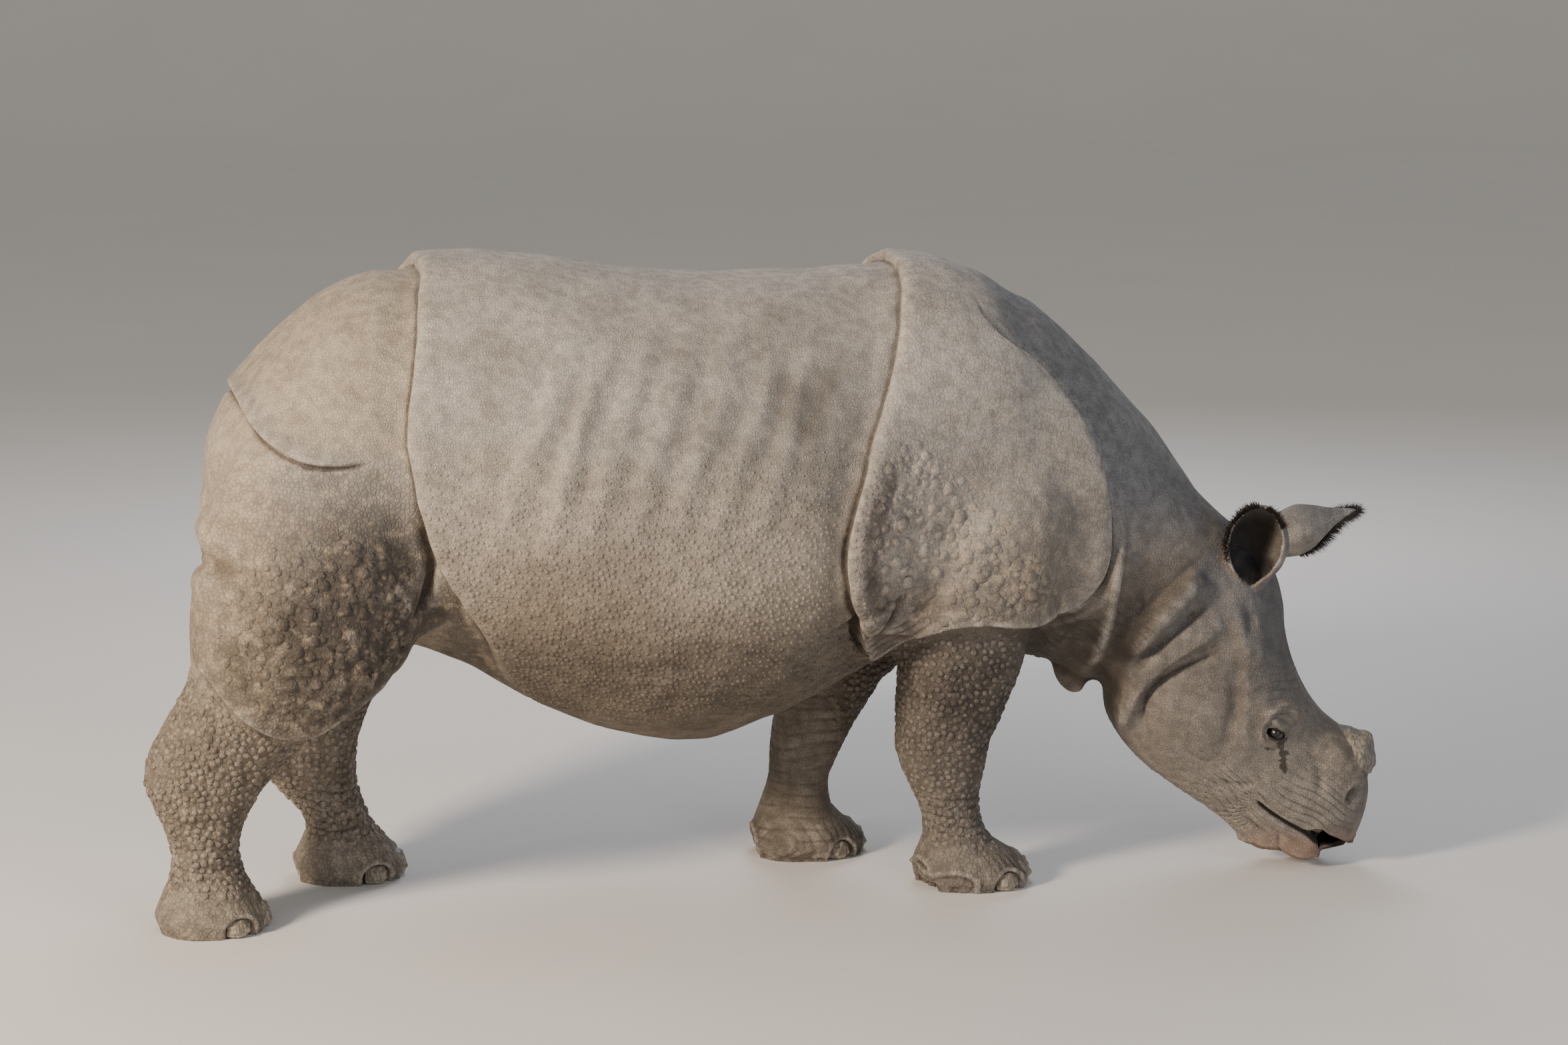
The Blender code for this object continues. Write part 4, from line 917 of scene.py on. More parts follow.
def eye_frame(side):
    """The middle of an eyeball and its own directions: along the slit, up, and out."""
    sign = -1 if side == "right" else 1
    out = turned_way(Vector((0.06, sign, 0.10)).normalized())
    along = turned_way((math.cos(EYE_SLANT), 0, -math.sin(EYE_SLANT)))
    along = (along - out * along.dot(out)).normalized()
    up = out.cross(along) if sign < 0 else along.cross(out)
    return node_middle(f"eye_{side}"), along, up, out


def eye_offsets(places, side):
    """How far points lie from an eye's middle, and the same along its slit, up, and out."""
    middle, *ways = eye_frame(side)
    offset = places - np.array(middle)
    return offset, [offset @ np.array(way) for way in ways]


def eye_radius():
    """The radius of the solids' eyeballs."""
    low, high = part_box("eye_right")
    return (high[2] - low[2]) / 2


def slit_share(u, v):
    """How far a point lies from the middle of the slit: 1 on the lids' edges."""
    half_length, half_height = EYE_SLIT
    level = -0.0015 + 0.10 * u
    half = half_height * np.sqrt(np.maximum(1 - (u / half_length) ** 2, 0.0))
    upper = np.where(v > level, 0.66, 0.92)
    away = np.abs(v - level) / np.maximum(half * upper, 1e-5)
    return np.where(np.abs(u) >= half_length, 9.0, away)


def shape_lids(places):
    """Lids that hug each eyeball, open at a slit, with a heavy upper lid and bags below."""
    radius = eye_radius()
    for side in SIDES:
        _, (u, v, w) = eye_offsets(places, side)
        near = (np.hypot(u, v) < 0.085) & (w > -0.03)
        u, v, w = u[near], v[near], w[near]
        reach = np.hypot(u, v)
        dome = np.sqrt(np.maximum((radius + LID_THICKNESS) ** 2 - reach**2, 0)) - 0.002
        lifted = w + (np.maximum(w, dome) - w) * soft((0.027 - reach) / 0.012)
        for height, middle, size in LID_LUMPS:
            lifted += height * oval(u, v, middle, size)
        behind_eye = soft((-u - 0.008) / 0.010)
        lifted += behind_eye * 0.0050 * bell(reach, 0.0060, 0.038) * np.exp(-(((v + 0.006) / 0.028) ** 4))
        lifted -= behind_eye * 0.0035 * bell(reach, 0.0035, 0.029) * np.exp(-(((v + 0.006) / 0.025) ** 4))
        for height, depth, width in LID_CREASES:
            bend = height + math.copysign(6.0, -height) * u * u
            lifted -= depth * bell(v, width, bend) * np.exp(-((u / 0.028) ** 4))
        tear = bell(u - 0.10 * (v + 0.02), 0.006, 0.028) * soft(-v / 0.01) * soft((0.06 + v) / 0.02)
        lifted -= 0.0030 * tear
        open_slit = soft((1.08 - slit_share(u, v)) / 0.16)
        behind = np.sqrt(np.maximum(radius**2 - reach**2, 0)) - 0.006
        lifted = lifted * (1 - open_slit) + behind * open_slit
        places[near] += (lifted - w)[:, None] * np.array(eye_frame(side)[3])
    return places


def nail_frame(foot, label):
    """The middle of a nail, and the way it faces."""
    angle = math.radians(NAIL_ANGLES[label] * (1 if foot.endswith("right") else -1))
    return node_middle(f"{foot}_nail_{label}"), Vector((math.cos(angle), math.sin(angle), 0))


def shape_cuticles(places, normals):
    """A fold of skin over the top of each nail."""
    for foot, label in itertools.product(FEET, NAIL_ANGLES):
        middle, out = nail_frame(foot, label)
        across = Vector((-out.y, out.x, 0))
        offset = places - np.array(middle)
        u, w, v = offset @ np.array(across), offset @ np.array(out), offset[:, 2]
        half, top = (0.052, 0.040) if label == "middle" else (0.038, 0.030)
        near = (np.abs(u) < half * 1.7) & (np.abs(v) < 0.09) & (w > -0.05)
        rim = np.hypot(u / half, np.maximum(v + 0.01, 0) / top)
        raised = 0.0050 * bell(rim, 0.14, 1.22) - 0.0070 * soft((1.06 - rim) / 0.16)
        places += normals * (raised * near)[:, None]
    return places


def concavity(places, normals, edges, rounds):
    """How hollow the surface is at each vertex, as a height, smoothed over some rounds."""
    mean = places
    for _ in range(rounds):
        mean = ring_mean(mean, edges)
    return ((mean - places) * normals).sum(1)


def hide_marks(body, places):
    """The numbers that the hide's material reads, one for each point."""
    x, z, head = body.x, body.z, body.head
    forward, upward = body.normals[:, 0], body.normals[:, 2]
    # Paler on upward faces and high on the body: dusty hide, with painted sunlight on the rump and on the
    # hind legs' rear faces
    dust_and_painted_light = 0.40 * soft(upward * 0.75 + 0.35) + 0.70 * soft((z - 0.80) / 0.60)
    dust_and_painted_light *= (1 - 0.85 * head) * (1 - 0.70 * body.neck)
    dust_and_painted_light += 0.45 * body.rump + 0.25 * body.hindleg * soft(-forward + 0.3)
    horn_side = oval(x, z, (1.962, 0.296), (0.050, 0.058)) * head
    # Low on the body: painted shade there, and a share of the painted bounce light
    low = soft((0.95 - z) / 0.45) * (1 - 0.6 * head) * (1 - 0.35 * body.leg)
    # Painted yellowish sunlight on the rump, the thigh, the hind legs and the barrel, painted bounce light
    # low on the body, and sandy hide beside the horn
    sand_and_warm_light = 0.8 * horn_side + body.rump + body.thigh * soft((-0.72 - x) / 0.15) + 0.6 * body.hindleg
    sand_and_warm_light += 0.35 * low + 0.5 * body.barrel * soft((1.30 - z) / 0.5)
    # Painted bluish sky shade below the flap's edge, on the brow, the upper neck and the head
    flap = 0.6 * band(body.flap, 0.0, 0.04, 0.02) * soft(body.flap_along / 0.2)
    brow = head * soft((z - 0.35) / 0.3) * soft(forward + upward)
    skylight_shade = body.neck * soft((z - 0.75) / 0.3) + brow + 0.22 * head + flap * soft((1 - body.flap_along) / 0.3)
    # On the rump this tint also stands for painted sunlight; elsewhere it is dried mud
    mud = body.thigh + 0.75 * body.plate * soft((1.3 - z) / 0.3) + 0.30 * body.rump + 0.5 * body.hindleg
    coarse = body.thigh + body.leg + 0.6 * body.plate + 0.5 * body.barrel * soft((1.15 - z) / 0.3)
    # Painted shade in the mouth's slit and its open gap
    slit = bell(body.mouth, 0.0065) * soft(body.mouth_along / 0.10)
    slit += soft((x - 1.87) / 0.03) * bell(body.mouth, 0.020, 0.008) * soft((0.115 - z) / 0.02)
    return {
        "coarse": coarse * (1 - 0.8 * head),
        "dust_and_painted_light": dust_and_painted_light,
        "sand_and_warm_light": sand_and_warm_light,
        "skylight_shade": skylight_shade,
        "shade": low + 0.5 * body.barrel * soft((0.85 - z) / 0.25),
        "mud": mud + 2.0 * horn_side,
        "stain_and_shade": stains_and_shade(body),
        "lip": head * soft((0.13 - z) / 0.06) * soft((x - 1.70) / 0.05),
        "slit": slit * head,
        "wet": wetness(places),
        "ear_inside": inside_ears(body),
    }


def inside_ears(body):
    """1 on the hollow side of each ear, fading towards its front rim and its tip."""
    inner = np.zeros(len(body.x))
    for root, along, opening, length, girth, point in EARS.values():
        along = np.array(along) / np.linalg.norm(along)
        opening = np.array(opening) - along * np.dot(opening, along)
        opening /= np.linalg.norm(opening)
        offset = body.places - root
        share = offset @ along / length
        axis = ear_radius(share, girth, point)
        middle = offset - (offset @ along)[:, None] * along + opening * (axis * 0.4 * share)[:, None]
        reach = np.maximum(np.linalg.norm(middle, axis=1), 1e-4)
        facing = -(body.normals * middle).sum(1) / reach
        front = (middle @ np.cross(along, opening)) / reach
        deep = 1 - 0.85 * soft((front - 0.35) / 0.4) * soft((reach / np.maximum(axis, 1e-4) - 0.7) / 0.2)
        deep *= 0.45 + 0.55 * soft((0.80 - share) / 0.4)
        inside = soft(facing * 1.6) * soft((share - 0.03) / 0.08) * (reach < axis * 1.05) * deep
        floor = soft((body.normals @ along - 0.1) / 0.4) * soft((0.25 - share) / 0.1) * (share > -0.25)
        inner = np.maximum(inner, np.maximum(inside, floor * (reach < axis * 0.86)))
    return inner


def wetness(places):
    """The wet rims of the eyes, and the tears below them, broken up into drops and streaks."""
    wet = np.zeros(len(places))
    broken = clouds(places, 0.009, 81) + 0.5 * clouds(places, 0.004, 82)
    for side in SIDES:
        offset, (u, v, w) = eye_offsets(places, side)
        reach = np.hypot(u, v)
        rim = soft((1.75 - slit_share(u, v)) / 0.5) * (reach < 0.034)
        fallen = -offset[:, 2]
        line = offset @ np.array(turned_way((1, 0, 0))) - 0.010 - 0.15 * fallen
        width = 0.013 - 0.045 * np.clip(fallen - 0.02, 0, 0.12)
        stream = bell(line, width) * soft((fallen - 0.002) / 0.01) * soft((0.135 - fallen) / 0.04)
        stream = soft((stream - 0.42 + 0.60 * broken) / 0.25)
        branch = bell(fallen - 0.2 * line, 0.005, 0.050) * band(line, -0.045, 0.0, 0.01)
        stream = np.maximum(stream * (np.abs(line) < 0.03), branch * soft(0.5 + broken))
        wet = np.maximum(wet, np.where((w > -0.03) & (reach < 0.16), np.maximum(rim, stream), 0))
    return wet


# ------------------------------------------------------------------ materials
# The nodes of the materials: type, the sockets that take the values, the output, the settings.
NODE_KINDS = {
    "coordinates": ("TexCoord", (), "Object", {}),
    "mapped": ("Mapping", (0, 2, 3), 0, {}),
    "stored": ("Attribute", (), "Fac", {}),
    "noise": ("TexNoise", ("Vector", "Scale", "Detail"), "Fac", {}),
    "wobble": ("TexNoise", ("Vector", "Scale", "Detail"), "Color", {}),
    "cells": ("TexVoronoi", ("Vector", "Scale"), "Color", {}),
    "cracks": ("TexVoronoi", ("Vector", "Scale", "Randomness"), "Distance", {"feature": "DISTANCE_TO_EDGE"}),
    "first part": ("SeparateColor", (0,), 0, {}),
    "times and plus": ("VectorMath", (0, 1, 2), 0, {"operation": "MULTIPLY_ADD"}),
    "spread": ("MapRange", (0, 1, 2, 3, 4), 0, {"interpolation_type": "SMOOTHSTEP"}),
    "times": ("Math", (0, 1), 0, {"operation": "MULTIPLY", "use_clamp": True}),
    "between": ("Mix", (0, 2, 3), 0, {}),
    "blend": ("Mix", (0, 6, 7), 2, {"data_type": "RGBA"}),
    "lighter": ("HueSaturation", ("Value", "Color"), 0, {}),
    "bump": ("Bump", ("Height", "Strength", "Distance", "Normal"), 0, {}),
}


def fill(made, sockets):
    """Give each socket of a node its constant, or link it to another node's output."""
    for name, value in sockets.items():
        if isinstance(value, bpy.types.NodeSocket):
            made.id_data.links.new(value, made.inputs[name])
        else:
            made.inputs[name].default_value = value


def node(tree, kind, *values, **choices):
    """Add a node with its settings and links, and return its output."""
    type_name, sockets, output, settled = NODE_KINDS[kind]
    made = tree.nodes.new("ShaderNode" + type_name)
    for name, value in {**settled, **choices}.items():
        setattr(made, name, value)
    fill(made, dict(zip(sockets, values)))
    return made.outputs[output]


def new_material(name):
    """A material, its shader, and the way to add a node to its tree."""
    material = bpy.data.materials.new(name)
    material.use_nodes = True
    tree = material.node_tree
    return material, tree.nodes["Principled BSDF"], functools.partial(node, tree)


def paint(colour):
    """A colour of the settings as a node's value."""
    return (*colour, 1.0)


def tinted(add, shades, colour, layers):
    """A colour with others of the settings laid over it, each by a factor and an amount."""
    for factor, name, amount in layers:
        colour = add("blend", add("times", factor, amount), colour, paint(getattr(shades, name)))
    return colour


def bumped(add, layers):
    """A normal bumped by heights, each with its strength and its depth in metres."""
    normal = ()
    for layer in layers:
        normal = (add("bump", *layer, *normal),)
    return normal[0]


def hide_material():
    """Living rhinoceros hide, dry and dusty: matt, with pebbled grain, painted shade in its creases, a pale
    dusty back, painted sunlight, bluish sky shade and ridge highlights, and flakes of dried mud on the
    plates."""
    shades = settings("rhino_hide")
    material, shader, add = new_material("dusty pebbled hide")
    place = add("coordinates")
    broad, fine = (add("noise", place, 1000 / size_mm, 3.0) for size_mm in (420, 4))
    patch, mottle = add("noise", place, 1000 / 110, 4.0), add("noise", place, 1000 / 28, 5.0)
    marks = {name: add("stored", attribute_name=name) for name in (
        "coarse", "mud", "wet", "dust_and_painted_light", "sand_and_warm_light", "skylight_shade", "shade", "stain_and_shade", "ridge", "hollow", "lip",
        "slit", "ear_inside",
    )}
    # Cracked pebbles, 7 mm on the back and the face and 12 mm low on the body.
    bent = add("times and plus", add("wobble", place, 60.0, 2.0), (0.008,) * 3, place)
    cracks = [add("spread", add("cracks", bent, 1000 / size_mm, 0.9), 0.0, 0.22) for size_mm in (7.0, 12.0)]
    pebble = add("between", marks["coarse"], *cracks)
    # Flakes of dried mud, 21 mm across, on some of the patches.
    flake = add("spread", add("first part", add("cells", bent, 1000 / 21.0)), 0.62, 0.70)
    flake = add("times", flake, add("times", add("spread", patch, 0.50, 0.64), marks["mud"]))
    wet = add("times", marks["wet"], add("spread", mottle, 0.25, 0.50, 0.7, 1.0))
    wet = add("spread", wet, 0.25, 0.65)

    def worn(name, pattern, low, high, least=0.0):
        """A stored mark, weakened unevenly down to its least share."""
        return add("times", marks[name], add("spread", pattern, low, high, least, 1.0))

    base = add("blend", add("spread", broad, 0.38, 0.64), paint(shades.dark), paint(shades.light))
    colour = tinted(add, shades, base, [
        # Dusty hide with painted sunlight
        (worn("dust_and_painted_light", patch, 0.28, 0.66, 0.55), "dust_and_painted_light", 0.85),
        # Painted yellowish sunlight and bounce light, and the sandy patch beside the horn
        (marks["sand_and_warm_light"], "sand_and_warm_light", 0.45),
        # Painted bluish sky shade
        (marks["skylight_shade"], "skylight_shade", 0.62),
        # Painted shade, darker towards the belly and the legs
        (worn("shade", patch, 0.30, 0.70, 0.7), "under", 0.90),
        (flake, "mud", 0.60),
        # Painted shade with some rubbed, stained patches
        (worn("stain_and_shade", mottle, 0.25, 0.60, 0.75), "stain_and_shade", 0.86),
        (worn("mud", mottle, 0.50, 0.72), "mud", 0.35),
        # Painted highlight on the ridges
        (worn("ridge", mottle, 0.25, 0.70, 0.4), "dust_and_painted_light", 0.50),
        # Painted shade in the cracks between the pebbles and in the hide's hollows
        (add("spread", pebble, 0.60, 0.0), "crease_shade", 0.32),
        (add("spread", marks["hollow"], 0.10, 0.95), "crease_shade", 0.70),
        (marks["lip"], "lip", 0.45),
        # Painted shade in the mouth and inside the ears' cups
        (add("spread", marks["slit"], 0.25, 0.85), "inside", 0.95),
        (marks["ear_inside"], "inside", 0.88),
        (wet, "inside", 0.80),
    ])
    speck = add("times", mottle, add("spread", fine, 0.3, 0.7, 0.85, 1.15))
    speck = add("spread", speck, 0.30, 0.70, 0.80, 1.14)
    bumps = [(pebble, 0.65, 0.0016), (mottle, 0.60, 0.0032), (fine, 0.35, 0.0007), (flake, 0.70, 0.0020)]
    fill(shader, {
        "Base Color": add("lighter", speck, colour),
        "Roughness": add("spread", wet, 0.0, 1.0, 0.86, 0.24),
        "IOR": 1.42,
        "Normal": bumped(add, bumps),
    })
    return material


def eye_material():
    """A wet eyeball: a clear film over a brown iris, a wide dark pupil and a brownish white."""
    shades = settings("rhino_eyes")
    material, shader, add = new_material("wet eye")
    gaze = add("stored", attribute_name="gaze")
    fleck = add("noise", add("coordinates"), 1000 / 1.6, 3.0)
    iris = add("blend", fleck, paint(shades.iris_dark), paint(shades.iris))
    colour = tinted(add, shades, iris, [
        (add("spread", gaze, 0.44, 0.36), "pupil", 1.0), (add("spread", gaze, 0.66, 0.78), "white", 1.0),
    ])
    film = {"Coat Weight": 0.8, "Coat Roughness": 0.08}
    fill(shader, {"Base Color": colour, "Roughness": 0.30, "IOR": 1.38, **film})
    return material


def horn_material():
    """Worn keratin horn: bundled fibres, dark and light, pale where they are frayed, and tinted at its foot.
    """
    shades = settings("rhino_horn")
    material, shader, add = new_material("worn fibrous horn")
    place = add("coordinates")
    fibre = add("noise", add("mapped", place, (0, HORN_LEAN, 0), (1.0, 1.0, 0.22)), 1000 / 5, 4.0)
    patch = add("noise", place, 1000 / 40, 3.0)
    base = add("blend", add("spread", fibre, 0.35, 0.65), paint(shades.dark), paint(shades.light))
    frayed, foot = (add("stored", attribute_name=name) for name in ("frayed", "foot"))
    colour = tinted(add, shades, base, [
        (add("times", frayed, add("spread", fibre, 0.30, 0.55)), "frayed", 0.85),
        (add("times", foot, add("spread", patch, 0.3, 0.6)), "foot", 0.70),
    ])
    normal = bumped(add, [(fibre, 0.6, 0.0022), (patch, 0.4, 0.003)])
    fill(shader, {"Base Color": colour, "Roughness": 0.62, "IOR": 1.54, "Normal": normal})
    return material


def nail_material():
    """Toenail keratin: hard, a little glossy, ribbed lengthwise, scuffed pale at the lower edge."""
    shades = settings("rhino_nails")
    material, shader, add = new_material("scuffed toenail keratin")
    place, rise = add("coordinates"), add("stored", attribute_name="rise")
    ribs = add("noise", add("mapped", place, (0, 0, 0), (1.0, 1.0, 0.12)), 1000 / 5, 3.0)
    scuff = add("noise", place, 1000 / 9, 4.0)
    base = add("blend", add("spread", ribs, 0.35, 0.65), paint(shades.dark), paint(shades.light))
    worn = add("times", add("spread", rise, 0.35, 0.0), add("spread", scuff, 0.35, 0.6))
    colour = tinted(add, shades, base, [(add("spread", rise, 0.45, 1.0), "dark", 0.70), (worn, "worn", 0.8)])
    fill(shader, {
        "Base Color": colour,
        "Roughness": add("spread", scuff, 0.3, 0.7, 0.42, 0.68),
        "IOR": 1.54,
        "Normal": bumped(add, [(ribs, 0.5, 0.0012), (scuff, 0.35, 0.0010)]),
    })
    return material


def bristle_material():
    """Stiff black hair with a dull brown sheen at its worn tips."""
    shades = settings("rhino_bristles")
    material, shader, add = new_material("stiff dark bristles")
    colour = add("blend", add("stored", attribute_name="tip"), paint(shades.root), paint(shades.tip))
    fill(shader, {"Base Color": colour, "Roughness": 0.48, "IOR": 1.55})
    return material


def floor_material():
    """Pale matt studio floor with the faintest unevenness."""
    material, shader, add = new_material("pale matt floor")
    uneven = add("noise", add("coordinates"), 1000 / 900, 3.0)
    colour = add("blend", uneven, linear("#E9E7E3"), linear("#EFEDE9"))
    fill(shader, {"Base Color": colour, "Roughness": 0.9})
    return material


# ------------------------------------------------------------------ settings
def colour_setting(name, description, hex_colour):
    """A colour of a group of settings, from its sRGB hex value."""
    return FloatVectorProperty(name=name, description=description, size=3, subtype="COLOR", min=0, max=1,
                               default=linear(hex_colour)[:3])


class RhinoHide(bpy.types.PropertyGroup):
    detail: FloatProperty(name="Detail", description="Size of the finest facets of the body's hide",
                          default=0.005, min=0.003, max=0.02, unit="LENGTH")
    triangles: IntProperty(name="Triangles", description="Triangles of the finished hide",
                           default=196000, min=20000, max=199000)
    light: colour_setting("Light hide", "Dry hide in the middle of the plates", "#A0978B")
    dark: colour_setting("Dark hide", "Darker patches of the hide", "#7A7269")
    # Dusty hide, and the colour of the painted sunlight and the painted ridge highlights
    dust_and_painted_light: colour_setting("Dust", "Dust on the back and the ridges", "#C3BBB0")
    # Colour of the painted sunlight and bounce light, and of the sandy patch beside the horn
    sand_and_warm_light: colour_setting("Warm hide", "Sandy hide of the rump and the hind legs", "#B5A284")
    # Colour of the painted bluish sky shade
    skylight_shade: colour_setting("Cool hide", "Bluish hide of the neck and the forehead", "#7A7E84")
    # Colour of the painted shade of the belly and the legs
    under: colour_setting("Underside", "Hide of the belly and the legs", "#4D443A")
    # Colour of the painted shade and of the stained hide between the knobs
    stain_and_shade: colour_setting("Stained hide", "Dark, rubbed hide between the knobs", "#39332D")
    mud: colour_setting("Mud", "Flakes of dried mud", "#B3A289")
    # Painted shade in the creases and in the cracks between the pebbles
    crease_shade: colour_setting("Shade", "Dirt in the creases", "#3A322B")
    lip: colour_setting("Lips", "The lower lip and the tip of the upper one", "#9C7A66")
    # Colour of the painted shade in the mouth and the ears, and of the wet tear streaks
    inside: colour_setting("Inside", "The ears' insides, the mouth and the tear stains", "#211D1A")


class RhinoEyes(bpy.types.PropertyGroup):
    iris: colour_setting("Iris", "Light flecks of the iris", "#24150B")
    iris_dark: colour_setting("Iris, dark", "Dark part of the iris", "#120A06")
    pupil: colour_setting("Pupil", "The pupil", "#050505")
    white: colour_setting("White", "The brownish white of the eye", "#1A130F")


class RhinoHorn(bpy.types.PropertyGroup):
    light: colour_setting("Light horn", "Light fibres of the horn", "#827B73")
    dark: colour_setting("Dark horn", "Dark fibres of the horn", "#615B55")
    frayed: colour_setting("Frayed horn", "Frayed fibres on the sides and the nub", "#A3957F")
    foot: colour_setting("Horn's foot", "The rough foot of the horn", "#8A7D6C")


class RhinoNails(bpy.types.PropertyGroup):
    light: colour_setting("Light nail", "Light ribs of a nail", "#A39885")
    dark: colour_setting("Dark nail", "The nail below its cuticle", "#6F6557")
    worn: colour_setting("Worn nail", "The worn lower edge", "#BDB29C")


class RhinoScales(bpy.types.PropertyGroup):
    knob: FloatProperty(name="Knob spacing", description="Least distance between two large knobs",
                        default=0.033, min=0.02, max=0.08, unit="LENGTH")
    pebble: FloatProperty(name="Pebble spacing", description="Least distance between two scales of the legs",
                          default=0.0145, min=0.008, max=0.04, unit="LENGTH")


class RhinoBristles(bpy.types.PropertyGroup):
    ear_length: FloatProperty(name="Ear bristles", description="Length of the ears' bristles",
                              default=0.030, min=0.005, max=0.06, unit="LENGTH")
    ear_count: IntProperty(name="Ear bristle count", description="Bristles on each ear",
                           default=1500, min=0, max=4000)
    tail_length: FloatProperty(name="Tail bristles", description="Length of the tail's bristles",
                               default=0.13, min=0.02, max=0.2, unit="LENGTH")
    tail_count: IntProperty(name="Tail bristle count", description="Bristles on the tail",
                            default=700, min=0, max=2000)
    root: colour_setting("Bristle", "The bristles at their roots", "#15120F")
    tip: colour_setting("Bristle tip", "The bristles at their tips", "#3A2F26")


# ------------------------------------------------------------------ pieces
def hide_height(body):
    """How far the hide stands out from the smooth flesh."""
    height = fold_height(body) + rib_height(body) + wrinkle_height(body) + knob_height(body)
    return height + muscle_height(body) + mouth_height(body)


def finish_piece(piece, name, material, replaced):
    """Name a piece, give it its finish, and tell the frame what it stands for."""
    piece.name = piece.data.name = name
    piece.data.materials.clear()
    piece.data.materials.append(material)
    piece.data.shade_smooth()
    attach(piece, "root")
    if replaced:
        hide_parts(*replaced)


class RHINO_OT_hide(bpy.types.Operator):
    """Cover the flesh with one folded hide"""

    bl_idname = "rhino.hide"
    bl_label = "Hide"

    def execute(self, context):
        shades = settings("rhino_hide")
        skin = fused_flesh(render_level(shades.detail))
        straight = straightened(read_places(skin.data))
        refine(skin, (straight[:, 0] > HEAD_START) & (ear_weight(straight) < 0.9))
        refine(skin, self.near_details(read_places(skin.data)))
        self.raise_folds(skin)
        self.mark_hollows(skin)
        self.thin_out(skin, shades.triangles)
        self.mark_hide(skin)
        finish_piece(skin, "hide", hide_material(), [*FLESH, *EARS])
        return {"FINISHED"}

    @staticmethod
    def raise_folds(skin):
        """Move the smooth flesh's surface out to the hide, with flat soles and open eyes."""
        places, normals = read_surface(skin.data)
        body = Body(places, normals)
        height = hide_height(body) * (1 - 0.9 * ear_weight(body.places))
        for side in SIDES:
            height *= 1 - soft((EYE_AREA - reach_of(places, f"eye_{side}")) / 0.020)
        foot = (places[:, 2] < 0.012) & (body.x < FOOT_END)
        height[foot] = np.minimum(height[foot], 0)
        places = shape_cuticles(places + normals * height[:, None], normals)
        places = shape_lids(draw_back_lip(places))
        places[:, 2] = np.maximum(places[:, 2], 0)
        sole = (places[:, 2] < 0.014) & (normals[:, 2] < -0.6) & (body.x < FOOT_END)
        places[sole, 2] = 0
        write_places(skin.data, places)

    @staticmethod
    def mark_hollows(skin):
        """Store where the hide is hollow and where it is raised, near by and more widely."""
        places, normals = read_surface(skin.data)
        edges = read_edges(skin.data)
        size = render_level(1.0)
        near, wide = (concavity(places, normals, edges, rounds) for rounds in (2, 16))
        hollow = np.clip(near / (0.0011 * size), -1, 1) * 0.55 + np.clip(wide / (0.0065 * size), -1, 1) * 0.5
        # The material paints shade where the hide is hollow and a highlight where it is raised
        store(skin.data, "hollow", np.clip(hollow, 0, 1))
        store(skin.data, "ridge", np.clip(-hollow, 0, 1))

    @staticmethod
    def mark_hide(skin):
        """Store the marks that the material reads, and paint shade into the gaps between the scales."""
        places, normals = read_surface(skin.data)
        body = Body(places, normals)
        for name, values in hide_marks(body, places).items():
            store(skin.data, name, np.clip(values, 0, 1))
        regions = knob_regions(body)
        # Painted shade in the gaps between the scales of the legs, the flanks and the thigh
        gaps = np.clip(0.45 * regions["leg"] + 0.30 * flank_weight(body) + 0.25 * regions["thigh"], 0, 1)
        hollow = np.empty(len(places), np.float32)
        skin.data.attributes["hollow"].data.foreach_get("value", hollow)
        store(skin.data, "hollow", np.maximum(hollow, gaps))

    @staticmethod
    def near_details(places):
        """The lips and the lids, whose creases are the finest."""
        straight = straightened(places)
        near = (straight[:, 0] > 1.86) & (straight[:, 2] < 0.13)
        for side in SIDES:
            near |= reach_of(places, f"eye_{side}") < EYE_AREA
        return near

    @staticmethod
    def thin_out(skin, most):
        """Merge facets where the hide is plain."""
        faces = sum(len(p.vertices) - 2 for p in skin.data.polygons)
        if faces > most:
            apply_modifier(skin, "DECIMATE", ratio=most / faces)


class RHINO_OT_eyes(bpy.types.Operator):
    """Set the wet eyeballs behind the lids"""

    bl_idname = "rhino.eyes"
    bl_label = "Eyes"

    def execute(self, context):
        material = eye_material()
        radius = eye_radius()
        for side in SIDES:
            middle, along, _, out = eye_frame(side)
            eye = ball(f"eyeball_{side}", middle, radius, 48)
            offset = read_places(eye.data) - np.array(middle)
            gaze = (out + along * 0.10 + turned_way((0, 0, -0.08))).normalized()
            angle = np.arccos(np.clip(offset @ np.array(gaze) / radius, -1, 1))
            bulge = 0.0012 * soft((0.62 - angle) / 0.30)
            write_places(eye.data, np.array(middle) + offset * ((radius - 0.0006 + bulge) / radius)[:, None])
            store(eye.data, "gaze", angle)
            finish_piece(eye, f"eyeball_{side}", material, [f"eye_{side}"])
        return {"FINISHED"}


def smooth_copy(name, cell, rounds):
    """A copy of a solid in small even facets with its edges evened out, and its places and normals."""
    piece = node_copy(name)
    remesh(piece, cell)
    places = relax_full(read_places(piece.data), read_edges(piece.data), rounds)
    write_places(piece.data, places)
    return piece, places, read_places(piece.data, "normal")


